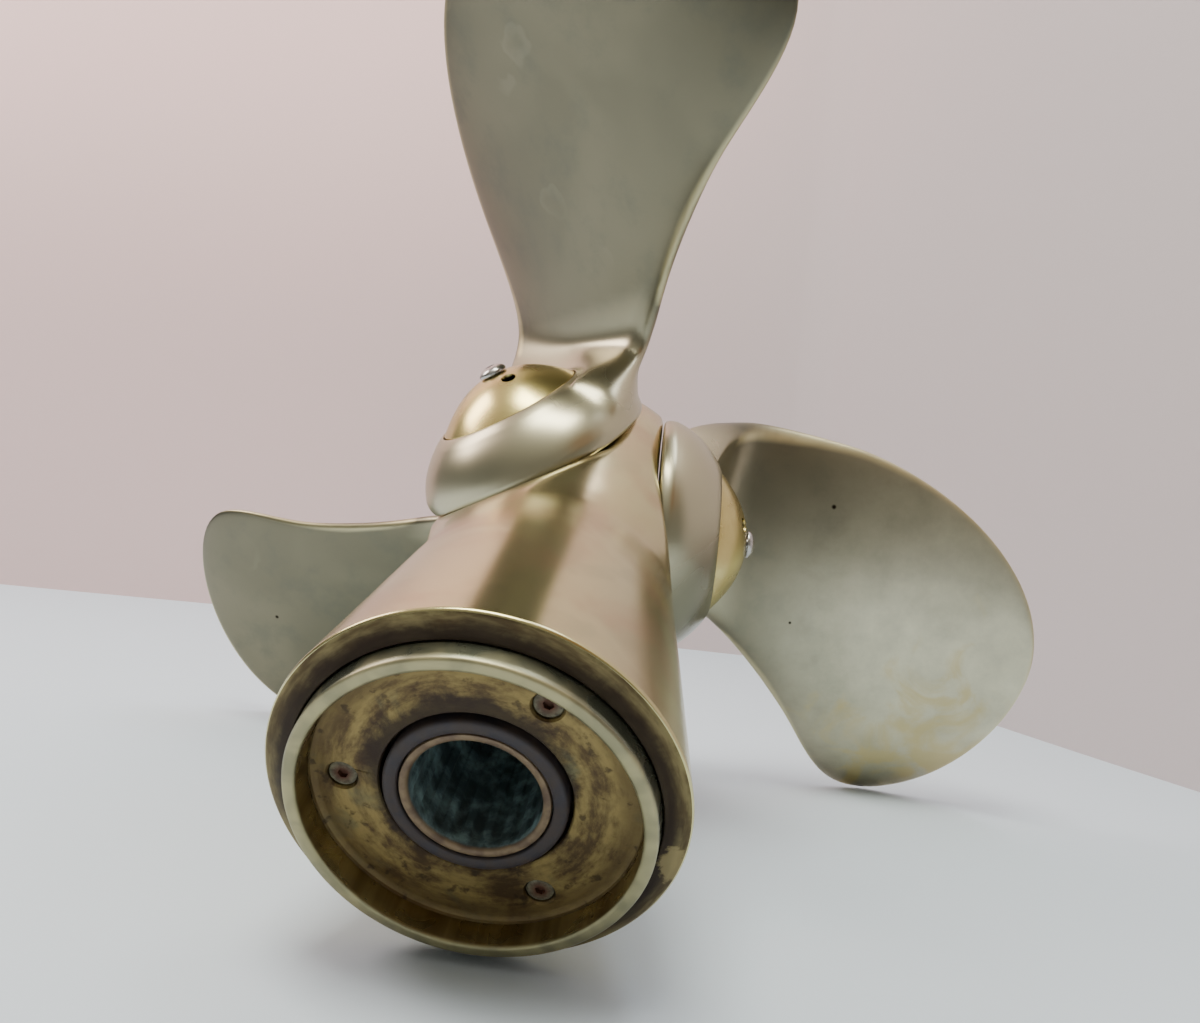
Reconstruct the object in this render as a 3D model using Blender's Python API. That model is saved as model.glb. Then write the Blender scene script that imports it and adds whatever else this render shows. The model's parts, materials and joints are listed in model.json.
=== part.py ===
"""Three-blade self-pitching boat propeller in cast bronze, standing as photographed.

It rests on the rim of its large end and on two blades. Every blade turns on its own
pivot pin, and a domed cap with a small stainless screw closes each pivot.
Units are metres, +Z is up and the table is z = 0.
"""
import math
from types import SimpleNamespace

import bmesh
import bpy
import numpy as np
from mathutils import Matrix, Vector

# Hub, measured along its own axis. Zero is the rim of the large end, and the pivots
# cross the axis PIVOT_DEPTH behind it.
RIM_RADIUS = 0.053
PIVOT_DEPTH = 0.148
PIVOT_LEAN = math.radians(2.8)
HUB_PROFILE = [
    (0.0000, 0.0530), (-0.0050, 0.0524), (-0.0300, 0.0493), (-0.0600, 0.0456),
    (-0.0820, 0.0428), (-0.0920, 0.0430), (-0.1040, 0.0450), (-0.1180, 0.0470),
    (-0.1350, 0.0486), (-0.1520, 0.0494), (-0.1640, 0.0491), (-0.1740, 0.0478),
    (-0.1820, 0.0445), (-0.1868, 0.0400), (-0.1885, 0.0340),
]
SEAT_HEIGHT = 0.0300
SEAT_FRONT = 0.0270
FLAT_HEIGHT = 0.0303
RECESS_RADIUS = 0.0447
SHOULDER_RADIUS = 0.0459
SHOULDER_RISE = 0.0018
HUB_BORE_RADIUS = 0.0235
HUB_BORE_DEPTH = 0.100
SHAFT_BORE_RADIUS = 0.0105

# Large end: spigot, disc with three screws, and the sprung sleeve in the middle.
SPIGOT_RADIUS = 0.0456
SPIGOT_LIP_RADIUS = 0.0454
SPIGOT_INNER_RADIUS = 0.0417
SPIGOT_RISE = 0.0078
SPIGOT_DEPTH = 0.0090
DISC_FACE = -0.0010
DISC_THICKNESS = 0.0075
DISC_INNER_RADIUS = 0.0242
DISC_SCREW_CIRCLE = 0.0336
DISC_SCREW_RADIUS = 0.0019
DISC_SINK_RADIUS = 0.0042
SLEEVE_RADIUS = 0.0232
SLEEVE_FRONT = 0.0005
LINER_RADIUS = 0.0191
LINER_BORE_RADIUS = 0.0167
SPLINE_COUNT = 20
SPLINE_DEPTH = 0.0010

# Blade pivots: heights are measured outwards along the pivot from the hub's axis.
BOSS_BASE = 0.0304
BOSS_TOP = 0.0533
BOSS_WALL = [
    (BOSS_BASE, 0.0424), (0.0311, 0.0434), (0.0328, 0.0440), (0.0356, 0.0438),
    (0.0385, 0.0427), (0.0414, 0.0410), (0.0443, 0.0389), (0.0472, 0.0362),
    (0.0499, 0.0331), (0.0521, 0.0299), (BOSS_TOP, 0.0278),
]
CAP_RADIUS = 0.0267
CAP_APEX = 0.0655
PIN_RADIUS = 0.0140
PIN_FOOT = 0.0215
PIN_HEAD_RADIUS = 0.0200
PIN_HEAD_BASE = 0.0445
PIN_HEAD_TOP = 0.0492
SCREW_HEAD_RADIUS = 0.0053
SPANNER_HOLE_RADIUS = 0.0026
SPANNER_HOLE_CIRCLE = 0.0118
RUNNING_GAP = 0.0001
GAP = 0.0003

# Blade outline in the plane across the pivot: x to the blade's trailing side, y outwards.
BLADE_OUTLINE = [
    (-0.0164, 0.0500), (-0.0011, 0.0586), (-0.0025, 0.1095), (0.0185, 0.1740),
    (0.0545, 0.2025), (0.1010, 0.1870), (0.1405, 0.1585), (0.1500, 0.1255),
    (0.1135, 0.1040), (0.0675, 0.0780), (0.0435, 0.0300),
]
BLADE_TURN_DEG = (0.0, 15.9, 22.3)
ROOT_LEFT_Y = 0.0740
ROOT_RIGHT_Y = 0.0490

# The blade grows out of a patch of the boss's wall on the side of the small end.
BOSS_STEPS = 40
ROOT_STEPS = 16
ROOT_ANGLE_DEG = -46.0
ROOT_LOW = 3
ROOT_HIGH = 9
ROOT_SPREAD = 0.12
ROOT_LIFT = 0.5
ROOT_CLIMB = 0.8
ROOT_ARRIVE = 0.5
BRIDGE_AT = (0.13, 0.27, 0.41, 0.55, 0.69, 0.84)
PLATE_STEPS = 17

CIRCLE_STEPS = 64
HUB_STEPS = 72


def clear_scene():
    for obj in list(bpy.data.objects):
        bpy.data.objects.remove(obj, do_unlink=True)


def make_material(name, colour, roughness, metallic=1.0):
    material = bpy.data.materials.new(name)
    material.use_nodes = True
    shader = material.node_tree.nodes["Principled BSDF"]
    shader.inputs["Base Color"].default_value = (*colour, 1.0)
    shader.inputs["Roughness"].default_value = roughness
    shader.inputs["Metallic"].default_value = metallic
    material.diffuse_color = (*colour, 1.0)
    return material


def new_object(name, vertices, faces, parent, material, smooth_angle=35.0):
    mesh = bpy.data.meshes.new(name)
    mesh.from_pydata([tuple(v) for v in vertices], [], faces)
    mesh.update()
    bm = bmesh.new()
    bm.from_mesh(mesh)
    bmesh.ops.recalc_face_normals(bm, faces=bm.faces)
    bm.to_mesh(mesh)
    bm.free()
    obj = bpy.data.objects.new(name, mesh)
    bpy.context.scene.collection.objects.link(obj)
    obj.parent = parent
    if material is None:
        obj.hide_render = True
        obj.display_type = "WIRE"
    else:
        mesh.materials.append(material)
        shade(mesh, smooth_angle)
    return obj


def shade(mesh, smooth_angle):
    mesh.shade_smooth()
    mesh.set_sharp_from_angle(angle=math.radians(smooth_angle))


def lathe(name, profile, parent, material, axis="Z", steps=CIRCLE_STEPS, closed=False):
    """Turn (height, radius) points about the axis; a radius of 0 ends in one point."""
    vertices, rings = [], []
    for height, radius in profile:
        if radius < 1e-7:
            rings.append([len(vertices)])
            vertices.append(place(axis, height, 0.0, 0.0))
            continue
        ring = []
        for i in range(steps):
            angle = 2 * math.pi * i / steps
            ring.append(len(vertices))
            vertices.append(place(axis, height, radius * math.cos(angle), radius * math.sin(angle)))
        rings.append(ring)
    faces = []
    pairs = list(zip(rings, rings[1:]))
    if closed:
        pairs.append((rings[-1], rings[0]))
    for low, high in pairs:
        for i in range(steps):
            j = (i + 1) % steps
            if len(low) == 1:
                faces.append((low[0], high[i], high[j]))
            elif len(high) == 1:
                faces.append((low[i], low[j], high[0]))
            else:
                faces.append((low[i], low[j], high[j], high[i]))
    return new_object(name, vertices, faces, parent, material)


def place(axis, height, a, b):
    return (a, b, height) if axis == "Z" else (b, height, a)


def cut(obj, cutter, operation="DIFFERENCE"):
    modifier = obj.modifiers.new(cutter.name, "BOOLEAN")
    modifier.operation = operation
    modifier.solver = "EXACT"
    modifier.object = cutter


def empty(name, parent, matrix):
    obj = bpy.data.objects.new(name, None)
    obj.empty_display_size = 0.01
    bpy.context.scene.collection.objects.link(obj)
    obj.parent = parent
    obj.matrix_basis = matrix
    return obj


def curve_points(control, count):
    """Points of a clamped uniform cubic B-spline."""
    control = np.array(control)
    n = len(control)
    knots = np.concatenate([[0] * 3, np.linspace(0, 1, n - 2), [1] * 3])
    points = []
    for t in np.linspace(0, 1, count):
        k = min(np.searchsorted(knots, t, side="right") - 1, n - 1)
        d = [control[j].copy() for j in range(k - 3, k + 1)]
        for r in range(1, 4):
            for j in range(3, r - 1, -1):
                low, high = knots[j + k - 3], knots[j + 1 + k - r]
                a = (t - low) / (high - low)
                d[j] = (1 - a) * d[j - 1] + a * d[j]
        points.append(d[3])
    return np.array(points)


def blade_depth(x, y):
    """Position of the blade's middle surface along the hub's axis."""
    x, y = x / RIM_RADIUS, y / RIM_RADIUS - 1.8
    depth = -1.39 + 1.129 * x - 0.013 * y - 0.032 * x * y - 0.209 * x * x + 0.054 * y * y
    return depth * RIM_RADIUS


def pivot_matrix(index):
    """Frame of one pivot on the hub: y outwards along the pin, z to the large end."""
    around = Matrix.Rotation(-2 * math.pi * index / 3, 4, "Z")
    depth = Matrix.Translation((0, 0, -PIVOT_DEPTH))
    return around @ depth @ Matrix.Rotation(-PIVOT_LEAN, 4, "X")


def make_hub(root, mat):
    profile = [(-SPIGOT_DEPTH - GAP, HUB_BORE_RADIUS), (-SPIGOT_DEPTH - GAP, SPIGOT_RADIUS + GAP),
               (SHOULDER_RISE, SPIGOT_RADIUS + GAP), (SHOULDER_RISE, SHOULDER_RADIUS + 0.0006)]
    profile += [(z, r) for z, r in HUB_PROFILE]
    end = HUB_PROFILE[-1][0]
    profile += [(end, SHAFT_BORE_RADIUS), (-HUB_BORE_DEPTH, SHAFT_BORE_RADIUS),
                (-HUB_BORE_DEPTH, HUB_BORE_RADIUS)]
    hub = lathe("hub_body", profile, root, mat.hub, steps=HUB_STEPS, closed=True)
    for index in range(3):
        cut(hub, seat_cutter(index, root))
        recess = lathe(f"recess_cutter_{index + 1}", [
            (SEAT_HEIGHT, 0), (SEAT_HEIGHT, RECESS_RADIUS),
            (0.12, RECESS_RADIUS), (0.12, 0)], root, None, axis="Y")
        recess.matrix_basis = pivot_matrix(index)
        cut(hub, recess)
        hole = lathe(f"pin_hole_cutter_{index + 1}", [
            (PIN_FOOT - GAP, 0), (PIN_FOOT - GAP, PIN_RADIUS + GAP),
            (0.06, PIN_RADIUS + GAP), (0.06, 0)], root, None, axis="Y", steps=40)
        hole.matrix_basis = pivot_matrix(index)
        cut(hub, hole)
    return hub


def seat_cutter(index, root):
    """Wedge that mills the flat under a boss and the sloping facet in front of it."""
    wide, rear, top = 0.12, 0.09, 0.12
    rim_height = RIM_RADIUS + PIVOT_DEPTH * math.tan(PIVOT_LEAN)
    slope = (rim_height - FLAT_HEIGHT) / (PIVOT_DEPTH - SEAT_FRONT)
    front = SEAT_FRONT + 0.125
    outline = [(-rear, FLAT_HEIGHT), (SEAT_FRONT, FLAT_HEIGHT),
               (front, FLAT_HEIGHT + slope * (front - SEAT_FRONT)), (front, top), (-rear, top)]
    vertices = [(side * wide, y, z) for side in (-1, 1) for z, y in outline]
    n = len(outline)
    faces = [tuple(range(n)), tuple(range(n, 2 * n))]
    faces += [(i, (i + 1) % n, n + (i + 1) % n, n + i) for i in range(n)]
    cutter = new_object(f"seat_cutter_{index + 1}", vertices, faces, root, None)
    cutter.matrix_basis = pivot_matrix(index)
    return cutter


def make_large_end(root, mat):
    lathe("spigot", [
        (-SPIGOT_DEPTH, SPIGOT_INNER_RADIUS), (-SPIGOT_DEPTH, SPIGOT_RADIUS),
        (SHOULDER_RISE, SPIGOT_RADIUS), (SPIGOT_RISE - 0.0006, SPIGOT_LIP_RADIUS),
        (SPIGOT_RISE, SPIGOT_LIP_RADIUS - 0.0006), (SPIGOT_RISE, SPIGOT_INNER_RADIUS + 0.0005),
        (SPIGOT_RISE - 0.0005, SPIGOT_INNER_RADIUS)], root, mat.spigot, steps=72, closed=True)
    back = DISC_FACE - DISC_THICKNESS
    outer = SPIGOT_INNER_RADIUS - GAP
    disc = lathe("end_disc", [
        (back, DISC_INNER_RADIUS), (back, outer), (DISC_FACE, outer),
        (DISC_FACE, DISC_INNER_RADIUS)], root, mat.disc, steps=72, closed=True)
    for index in range(3):
        angle = math.radians(90 + 60 + 120 * index)
        centre = (DISC_SCREW_CIRCLE * math.cos(angle), DISC_SCREW_CIRCLE * math.sin(angle), 0)
        hole = lathe(f"disc_hole_cutter_{index + 1}", [
            (back - 0.002, 0), (back - 0.002, DISC_SCREW_RADIUS + GAP),
            (DISC_FACE - 0.0035, DISC_SCREW_RADIUS + GAP), (DISC_FACE - 0.0035, DISC_SINK_RADIUS),
            (DISC_FACE + 0.002, DISC_SINK_RADIUS), (DISC_FACE + 0.002, 0)],
            root, None, steps=32)
        hole.location = centre
        cut(disc, hole)
        screw = lathe(f"disc_screw_{index + 1}", [
            (back, 0), (back, DISC_SCREW_RADIUS), (DISC_FACE - 0.0032, DISC_SCREW_RADIUS),
            (DISC_FACE - 0.0032, 0.0036), (DISC_FACE - 0.0016, 0.0036),
            (DISC_FACE - 0.0012, 0.0032), (DISC_FACE - 0.0012, 0.0014),
            (DISC_FACE - 0.0024, 0.0014), (DISC_FACE - 0.0024, 0)],
            root, mat.disc_screw, steps=16)
        screw.location = centre
    lathe("sleeve", [
        (-HUB_BORE_DEPTH + GAP, LINER_RADIUS + GAP), (-HUB_BORE_DEPTH + GAP, SLEEVE_RADIUS),
        (SLEEVE_FRONT - 0.0008, SLEEVE_RADIUS), (SLEEVE_FRONT, SLEEVE_RADIUS - 0.0008),
        (SLEEVE_FRONT, LINER_RADIUS + GAP)], root, mat.sleeve, closed=True)
    make_liner(root, mat)


def make_liner(root, mat):
    """Bushing with straight splines along its bore."""
    steps = SPLINE_COUNT * 4
    front, back = SLEEVE_FRONT - 0.0004, -HUB_BORE_DEPTH + GAP
    vertices = []
    for z in (back, front):
        for ring in ("outer", "bore"):
            for i in range(steps):
                angle = 2 * math.pi * i / steps
                radius = LINER_RADIUS
                if ring == "bore":
                    radius = LINER_BORE_RADIUS + (SPLINE_DEPTH if i % 4 < 2 else 0.0)
                vertices.append((radius * math.cos(angle), radius * math.sin(angle), z))
    faces = []
    for i in range(steps):
        j = (i + 1) % steps
        a, b, c, d = 0, steps, 2 * steps, 3 * steps
        faces += [(a + i, a + j, c + j, c + i), (b + i, b + j, d + j, d + i),
                  (a + i, a + j, b + j, b + i), (c + i, c + j, d + j, d + i)]
    new_object("bore_liner", vertices, faces, root, mat.liner)


def blade_thickness(y):
    """Half thickness at mid chord: strong at the root, thin at the tip."""
    t = min(max((y - 0.05) / 0.15, 0.0), 1.0)
    return 0.0062 * (1 - t) ** 1.6 + 0.0017


def blade_edges():
    """Leading and trailing edge of the outline, from root to tip, in equal steps."""
    points = curve_points(BLADE_OUTLINE, 401)
    tip = int(np.argmax(points[:, 1]))
    left, right = points[:tip + 1], points[tip:][::-1]
    return left, right


def resample(points, fractions):
    steps = np.hypot(*np.diff(points, axis=0).T)
    length = np.concatenate([[0], np.cumsum(steps)])
    length /= length[-1]
    return np.stack([np.interp(fractions, length, points[:, i]) for i in (0, 1)], axis=1)


def boss_ring_profile():
    """Closed profile of the boss: base, bulging wall, cap pocket, pin head pocket, pin bore."""
    bore, head, cap = PIN_RADIUS + RUNNING_GAP, PIN_HEAD_RADIUS + GAP, CAP_RADIUS + GAP
    inside = [(BOSS_TOP, cap), (PIN_HEAD_TOP + GAP, cap), (PIN_HEAD_TOP + GAP, head),
              (PIN_HEAD_BASE - GAP, head), (PIN_HEAD_BASE - GAP, bore), (BOSS_BASE, bore)]
    return BOSS_WALL + inside


def blade_mesh():
    """Boss turned about the pivot, with the blade drawn out of a patch of its wall."""
    profile = boss_ring_profile()
    steps, rings = BOSS_STEPS, len(profile)
    start = math.radians(ROOT_ANGLE_DEG) - math.pi * ROOT_STEPS / steps

    def angle(i):
        return start + 2 * math.pi * i / steps

    vertices = [(r * math.cos(angle(i)), y, r * math.sin(angle(i)))
                for y, r in profile for i in range(steps)]
    faces = []
    for k in range(rings):
        for i in range(steps):
            if ROOT_LOW <= k < ROOT_HIGH and i < ROOT_STEPS:
                continue
            j, n = (i + 1) % steps, (k + 1) % rings
            faces.append((k * steps + i, k * steps + j, n * steps + j, n * steps + i))
    patch = patch_loop(steps)
    loops = plate_loops(len(patch))
    middle = len(patch) // 2
    bridge = bridge_loops(np.array([vertices[i] for i in patch]), loops[0], loops[1])
    previous = patch
    for loop in bridge + loops:
        first = len(vertices)
        vertices += [tuple(p) for p in loop]
        current = list(range(first, first + len(loop)))
        faces += ring_faces(previous, current)
        previous = current
    tip = len(vertices)
    vertices.append(tuple((loops[-1][0] + loops[-1][middle]) / 2 + np.array([0, 0.0008, 0])))
    faces += [(previous[i], previous[(i + 1) % len(previous)], tip) for i in range(len(previous))]
    return vertices, faces


def patch_loop(steps):
    """Vertices round the patch, from the middle of its trailing side over the top."""
    centre = (ROOT_LOW + ROOT_HIGH) // 2
    last = ROOT_STEPS
    loop = [(k, last) for k in range(centre, ROOT_HIGH)]
    loop += [(ROOT_HIGH, i) for i in range(last, 0, -1)]
    loop += [(k, 0) for k in range(ROOT_HIGH, ROOT_LOW, -1)]
    loop += [(ROOT_LOW, i) for i in range(0, last)]
    loop += [(k, last) for k in range(ROOT_LOW, centre)]
    return [k * steps + i for k, i in loop]


def ring_faces(low, high):
    n = len(low)
    return [(low[i], low[(i + 1) % n], high[(i + 1) % n], high[i]) for i in range(n)]


def plate_loops(count):
    """Closed loops round the blade, from just above the boss to the tip."""
    left, right = blade_edges()
    left = left[left[:, 1] > ROOT_LEFT_Y]
    right = right[right[:, 1] > ROOT_RIGHT_Y]
    even = np.linspace(0, 1, PLATE_STEPS + 1)
    fractions = 0.6 * even + 0.4 * np.sin(even * math.pi / 2)
    edges = zip(resample(left, fractions), resample(right, fractions))
    return [chord_ring(a, b, count) for a, b in list(edges)[:-1]]


def bridge_loops(patch, root, after):
    """Smooth loops that leave the boss's wall and run into the blade."""
    axis = np.array([0.0, 1.0, 0.0])
    centre = patch.mean(axis=0)
    loops = []
    trailing = [(1 + math.cos(2 * math.pi * i / len(patch))) / 2 for i in range(len(patch))]
    for t in BRIDGE_AT:
        h00, h01 = 2 * t ** 3 - 3 * t ** 2 + 1, 3 * t ** 2 - 2 * t ** 3
        h10, h11 = t ** 3 - 2 * t ** 2 + t, t ** 3 - t ** 2
        loop = []
        for p, q, r, w in zip(patch, root, after, trailing):
            out = p - axis * (p @ axis)
            out = out / np.linalg.norm(out) + (0.45 + ROOT_CLIMB * w) * axis
            out /= np.linalg.norm(out)
            inward = centre - p
            inward = inward - out * (inward @ out)
            inward /= max(np.linalg.norm(inward), 1e-9)
            span = np.linalg.norm(q - p)
            leave = (ROOT_SPREAD * inward + ROOT_LIFT * out) * span
            arrive = (r - q) / np.linalg.norm(r - q) * span * (ROOT_ARRIVE + 0.3 * (1 - w))
            loop.append(h00 * p + h10 * leave + h01 * q + h11 * arrive)
        loops.append(np.array(loop))
    return loops


def chord_ring(a, b, count):
    """Loop of one blade section from trailing edge b over the inner face to edge a."""
    loop = []
    y_mid = (a[1] + b[1]) / 2
    half = blade_thickness(y_mid)
    chord = np.hypot(*(b - a))
    half = min(half, chord * 0.2)
    for i in range(count):
        phi = 2 * math.pi * i / count
        u = (1 + math.cos(phi)) / 2
        p = a + (b - a) * u
        z = blade_depth(*p)
        e = 0.0005
        normal = np.array([-(blade_depth(p[0] + e, p[1]) - z) / e,
                           -(blade_depth(p[0], p[1] + e) - z) / e, 1.0])
        normal /= np.linalg.norm(normal)
        side = math.sin(phi)
        offset = half * math.copysign(abs(side) ** 0.75, side)
        loop.append(np.array([p[0], p[1], z]) + offset * normal)
    return np.array(loop)


def make_blade(index, pivot, mat):
    vertices, faces = blade_mesh()
    name = f"blade_{index + 1}"
    blade = new_object(name, vertices, faces, pivot, mat.blade, smooth_angle=40)
    return blade


def make_pivot_parts(index, pivot, mat):
    n = index + 1
    base = PIN_HEAD_TOP + 2 * GAP
    dome = [(base, 0), (base, CAP_RADIUS), (BOSS_TOP, CAP_RADIUS)]
    rise = CAP_APEX - BOSS_TOP
    for k in range(1, 6):
        radius = CAP_RADIUS * (1 - k / 6) ** 0.8
        dome.append((BOSS_TOP + rise * (1 - (radius / CAP_RADIUS) ** 2.1), radius))
    dome.append((CAP_APEX, 0))
    cap = lathe(f"cap_{n}", dome, pivot, mat.cap, axis="Y", steps=48)
    hole = lathe(f"screw_hole_cutter_{n}", [
        (CAP_APEX - 0.0085, 0), (CAP_APEX - 0.0085, 0.0028), (0.08, 0.0028), (0.08, 0)],
        pivot, None, axis="Y", steps=24)
    cut(cap, hole)
    for k in range(3):
        angle = math.radians(120 * k + 40)
        pin = lathe(f"spanner_hole_cutter_{n}_{k + 1}", [
            (CAP_APEX - 0.0075, 0), (CAP_APEX - 0.0075, SPANNER_HOLE_RADIUS),
            (0.08, SPANNER_HOLE_RADIUS), (0.08, 0)], pivot, None, axis="Y", steps=20)
        pin.location = (SPANNER_HOLE_CIRCLE * math.sin(angle), 0,
                        SPANNER_HOLE_CIRCLE * math.cos(angle))
        cut(cap, pin)
    top = CAP_APEX + 0.0002
    lathe(f"cap_screw_{n}", [
        (top - 0.0080, 0), (top - 0.0080, 0.0025), (top, 0.0025), (top, SCREW_HEAD_RADIUS),
        (top + 0.0006, SCREW_HEAD_RADIUS), (top + 0.0018, 0.0042), (top + 0.0026, 0.0023),
        (top + 0.0029, 0)], pivot, mat.screw, axis="Y", steps=24)


def make_pins(root, mat):
    for index in range(3):
        pin = lathe(f"pivot_pin_{index + 1}", [
            (PIN_FOOT, 0), (PIN_FOOT, PIN_RADIUS), (PIN_HEAD_BASE, PIN_RADIUS),
            (PIN_HEAD_BASE, PIN_HEAD_RADIUS), (PIN_HEAD_TOP, PIN_HEAD_RADIUS), (PIN_HEAD_TOP, 0)],
            root, mat.pin, axis="Y", steps=40)
        pin.matrix_basis = pivot_matrix(index)


def make_materials():
    return SimpleNamespace(
        hub=make_material("polished_bronze", (0.62, 0.50, 0.36), 0.28),
        blade=make_material("satin_bronze", (0.42, 0.39, 0.28), 0.38),
        cap=make_material("golden_bronze", (0.66, 0.52, 0.33), 0.28),
        spigot=make_material("worn_bronze", (0.36, 0.34, 0.22), 0.45),
        disc=make_material("mottled_bronze", (0.15, 0.10, 0.04), 0.6),
        sleeve=make_material("dark_bush", (0.045, 0.035, 0.04), 0.55, 0.3),
        liner=make_material("copper_liner", (0.22, 0.13, 0.08), 0.5),
        disc_screw=make_material("rusty_screw", (0.09, 0.045, 0.025), 0.7, 0.6),
        screw=make_material("stainless_steel", (0.55, 0.55, 0.53), 0.22),
        pin=make_material("bright_steel", (0.5, 0.5, 0.5), 0.3),
    )


def lowest(obj, matrix):
    return min((matrix @ v.co).z for v in obj.data.vertices)


def rest_pose(root, rim, blades):
    """Lean and roll the hub until its rim and the two lower blades all touch the table."""
    tilt, roll = math.radians(25.2), math.radians(29.1)

    def heights(tilt, roll):
        basis = Matrix.Rotation(math.pi / 2 + tilt, 4, "X") @ Matrix.Rotation(roll, 4, "Z")
        rim_low = min((basis @ Vector(p)).z for p in rim)
        lows = [lowest(b, basis @ b.parent.matrix_basis @ b.matrix_basis) for b in blades]
        return basis, np.array([low - rim_low for low in lows]), rim_low

    for _ in range(12):
        basis, h, rim_low = heights(tilt, roll)
        e = 1e-4
        jac = np.stack([(heights(tilt + e, roll)[1] - h) / e,
                        (heights(tilt, roll + e)[1] - h) / e], axis=1)
        step = np.linalg.solve(jac, -h)
        tilt, roll = tilt + float(step[0]), roll + float(step[1])
    basis, h, rim_low = heights(tilt, roll)
    root.matrix_basis = Matrix.Translation((0, 0, -rim_low)) @ basis
    return tilt, roll


def centre_on_origin(root):
    """Shift the finished propeller so that its outer box is centred over the origin."""
    bpy.context.view_layer.update()
    corners = [obj.matrix_world @ v.co for obj in bpy.data.objects
               if obj.type == "MESH" and not obj.hide_render for v in obj.data.vertices]
    x = (min(c.x for c in corners) + max(c.x for c in corners)) / 2
    y = (min(c.y for c in corners) + max(c.y for c in corners)) / 2
    root.matrix_basis = Matrix.Translation((-x, -y, 0)) @ root.matrix_basis


def main():
    clear_scene()
    mat = make_materials()
    root = empty("hub_frame", None, Matrix.Identity(4))
    make_hub(root, mat)
    make_large_end(root, mat)
    make_pins(root, mat)
    blades = []
    for index in range(3):
        turn = Matrix.Rotation(math.radians(BLADE_TURN_DEG[index]), 4, "Y")
        pivot = empty(f"pivot_{index + 1}", root, pivot_matrix(index) @ turn)
        blades.append(make_blade(index, pivot, mat))
        make_pivot_parts(index, pivot, mat)
    rim = [(RIM_RADIUS * math.cos(a), RIM_RADIUS * math.sin(a), 0.0)
           for a in np.linspace(0, 2 * math.pi, HUB_STEPS + 1)[:-1]]
    rest_pose(root, rim, blades[1:])
    centre_on_origin(root)
    bpy.context.view_layer.update()


if __name__ == "__main__":
    main()
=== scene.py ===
"""Dresses the three-blade self-pitching bronze propeller for its picture.

The frame gives the joints, the solids and their box. Every piece is drawn in the hub's or
a pivot's own axes, then set in place. Sizes are in metres.
"""
import json
import math

import bmesh
import bpy
import numpy as np
from mathutils import Matrix, Vector


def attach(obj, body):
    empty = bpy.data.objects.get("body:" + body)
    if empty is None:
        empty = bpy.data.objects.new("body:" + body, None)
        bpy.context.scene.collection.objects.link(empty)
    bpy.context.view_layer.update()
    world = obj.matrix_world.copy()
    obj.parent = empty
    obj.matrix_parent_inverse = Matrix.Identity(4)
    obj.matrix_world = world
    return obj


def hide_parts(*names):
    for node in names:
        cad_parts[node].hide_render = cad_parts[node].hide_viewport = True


bl_info = {
    "name": "Bronze Boat Propeller",
    "version": (1, 0, 0),
    "blender": (4, 5, 0),
    "location": "3D View > Sidebar > Propeller",
    "description": "Models the hub, the blades, the caps and the large end, and sets the stage",
    "category": "Add Mesh",
}

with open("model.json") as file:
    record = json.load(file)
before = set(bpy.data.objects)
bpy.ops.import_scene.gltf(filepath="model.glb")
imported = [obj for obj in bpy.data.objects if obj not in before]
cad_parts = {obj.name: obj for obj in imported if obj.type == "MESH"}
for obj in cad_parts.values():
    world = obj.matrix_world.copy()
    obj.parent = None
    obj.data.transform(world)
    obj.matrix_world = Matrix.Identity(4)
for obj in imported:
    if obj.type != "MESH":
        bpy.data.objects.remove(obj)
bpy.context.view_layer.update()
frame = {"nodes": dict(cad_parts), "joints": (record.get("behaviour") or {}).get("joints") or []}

# Radius of the turned hub at each depth behind the rim of the large end.
HUB_LINE = [
    (-0.0050, 0.0524), (-0.0300, 0.0493), (-0.0600, 0.0456), (-0.0820, 0.0428),
    (-0.0920, 0.0430), (-0.1040, 0.0450), (-0.1180, 0.0470), (-0.1350, 0.0486),
    (-0.1520, 0.0494), (-0.1640, 0.0491), (-0.1740, 0.0478), (-0.1820, 0.0445),
    (-0.1868, 0.0400), (-0.1885, 0.0340),
]
# Wall of a blade's boss: height along the pivot, radius.
BOSS_WALL = [
    (0.0304, 0.0424), (0.0311, 0.0434), (0.0328, 0.0440), (0.0356, 0.0438),
    (0.0385, 0.0427), (0.0414, 0.0410), (0.0443, 0.0389), (0.0472, 0.0362),
    (0.0499, 0.0331), (0.0521, 0.0299), (0.0533, 0.0278),
]
# Control points of the blade's outline: x to the trailing side, y outwards.
BLADE_OUTLINE = [
    (-0.0164, 0.0500), (-0.0011, 0.0586), (-0.0025, 0.1095), (0.0185, 0.1740),
    (0.0545, 0.2025), (0.1010, 0.1870), (0.1405, 0.1585), (0.1500, 0.1255),
    (0.1135, 0.1040), (0.0675, 0.0780), (0.0435, 0.0300),
]
BLADE_TURN_DEG = (0.0, 15.9, 22.3)
PIVOT_DEPTH = 0.148
PIVOT_LEAN = math.radians(2.8)
BOSS_TOP = 0.0533
DOME_POWER = 2.1
BOSS_STEPS, ROOT_STEPS, ROOT_LOW, ROOT_HIGH = 40, 16, 3, 9
ROOT_ANGLE = math.radians(-46.0)
PLATE_STEPS = 17
HUB_BORE, SHAFT_BORE = 0.0235, 0.0105
BUSH_DEPTH = -0.0997
DISC_FACE, DISC_BACK, DISC_BORE = -0.0010, -0.0085, 0.0242
SCREW_CIRCLE = 0.0336
SPLINES, SPLINE_DEPTH = 20, 0.0006
SPANNER_CIRCLE = 0.0118
RUNNING_GAP = 0.0003
# Plan of the backdrop, from behind the left blade round to the right front.
BACKDROP_LINE = [(-0.70, 0.40), (-0.53, 0.42), (0.05, 0.50), (0.17, 0.45), (0.32, 0.20),
                 (0.60, -0.25)]
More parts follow.
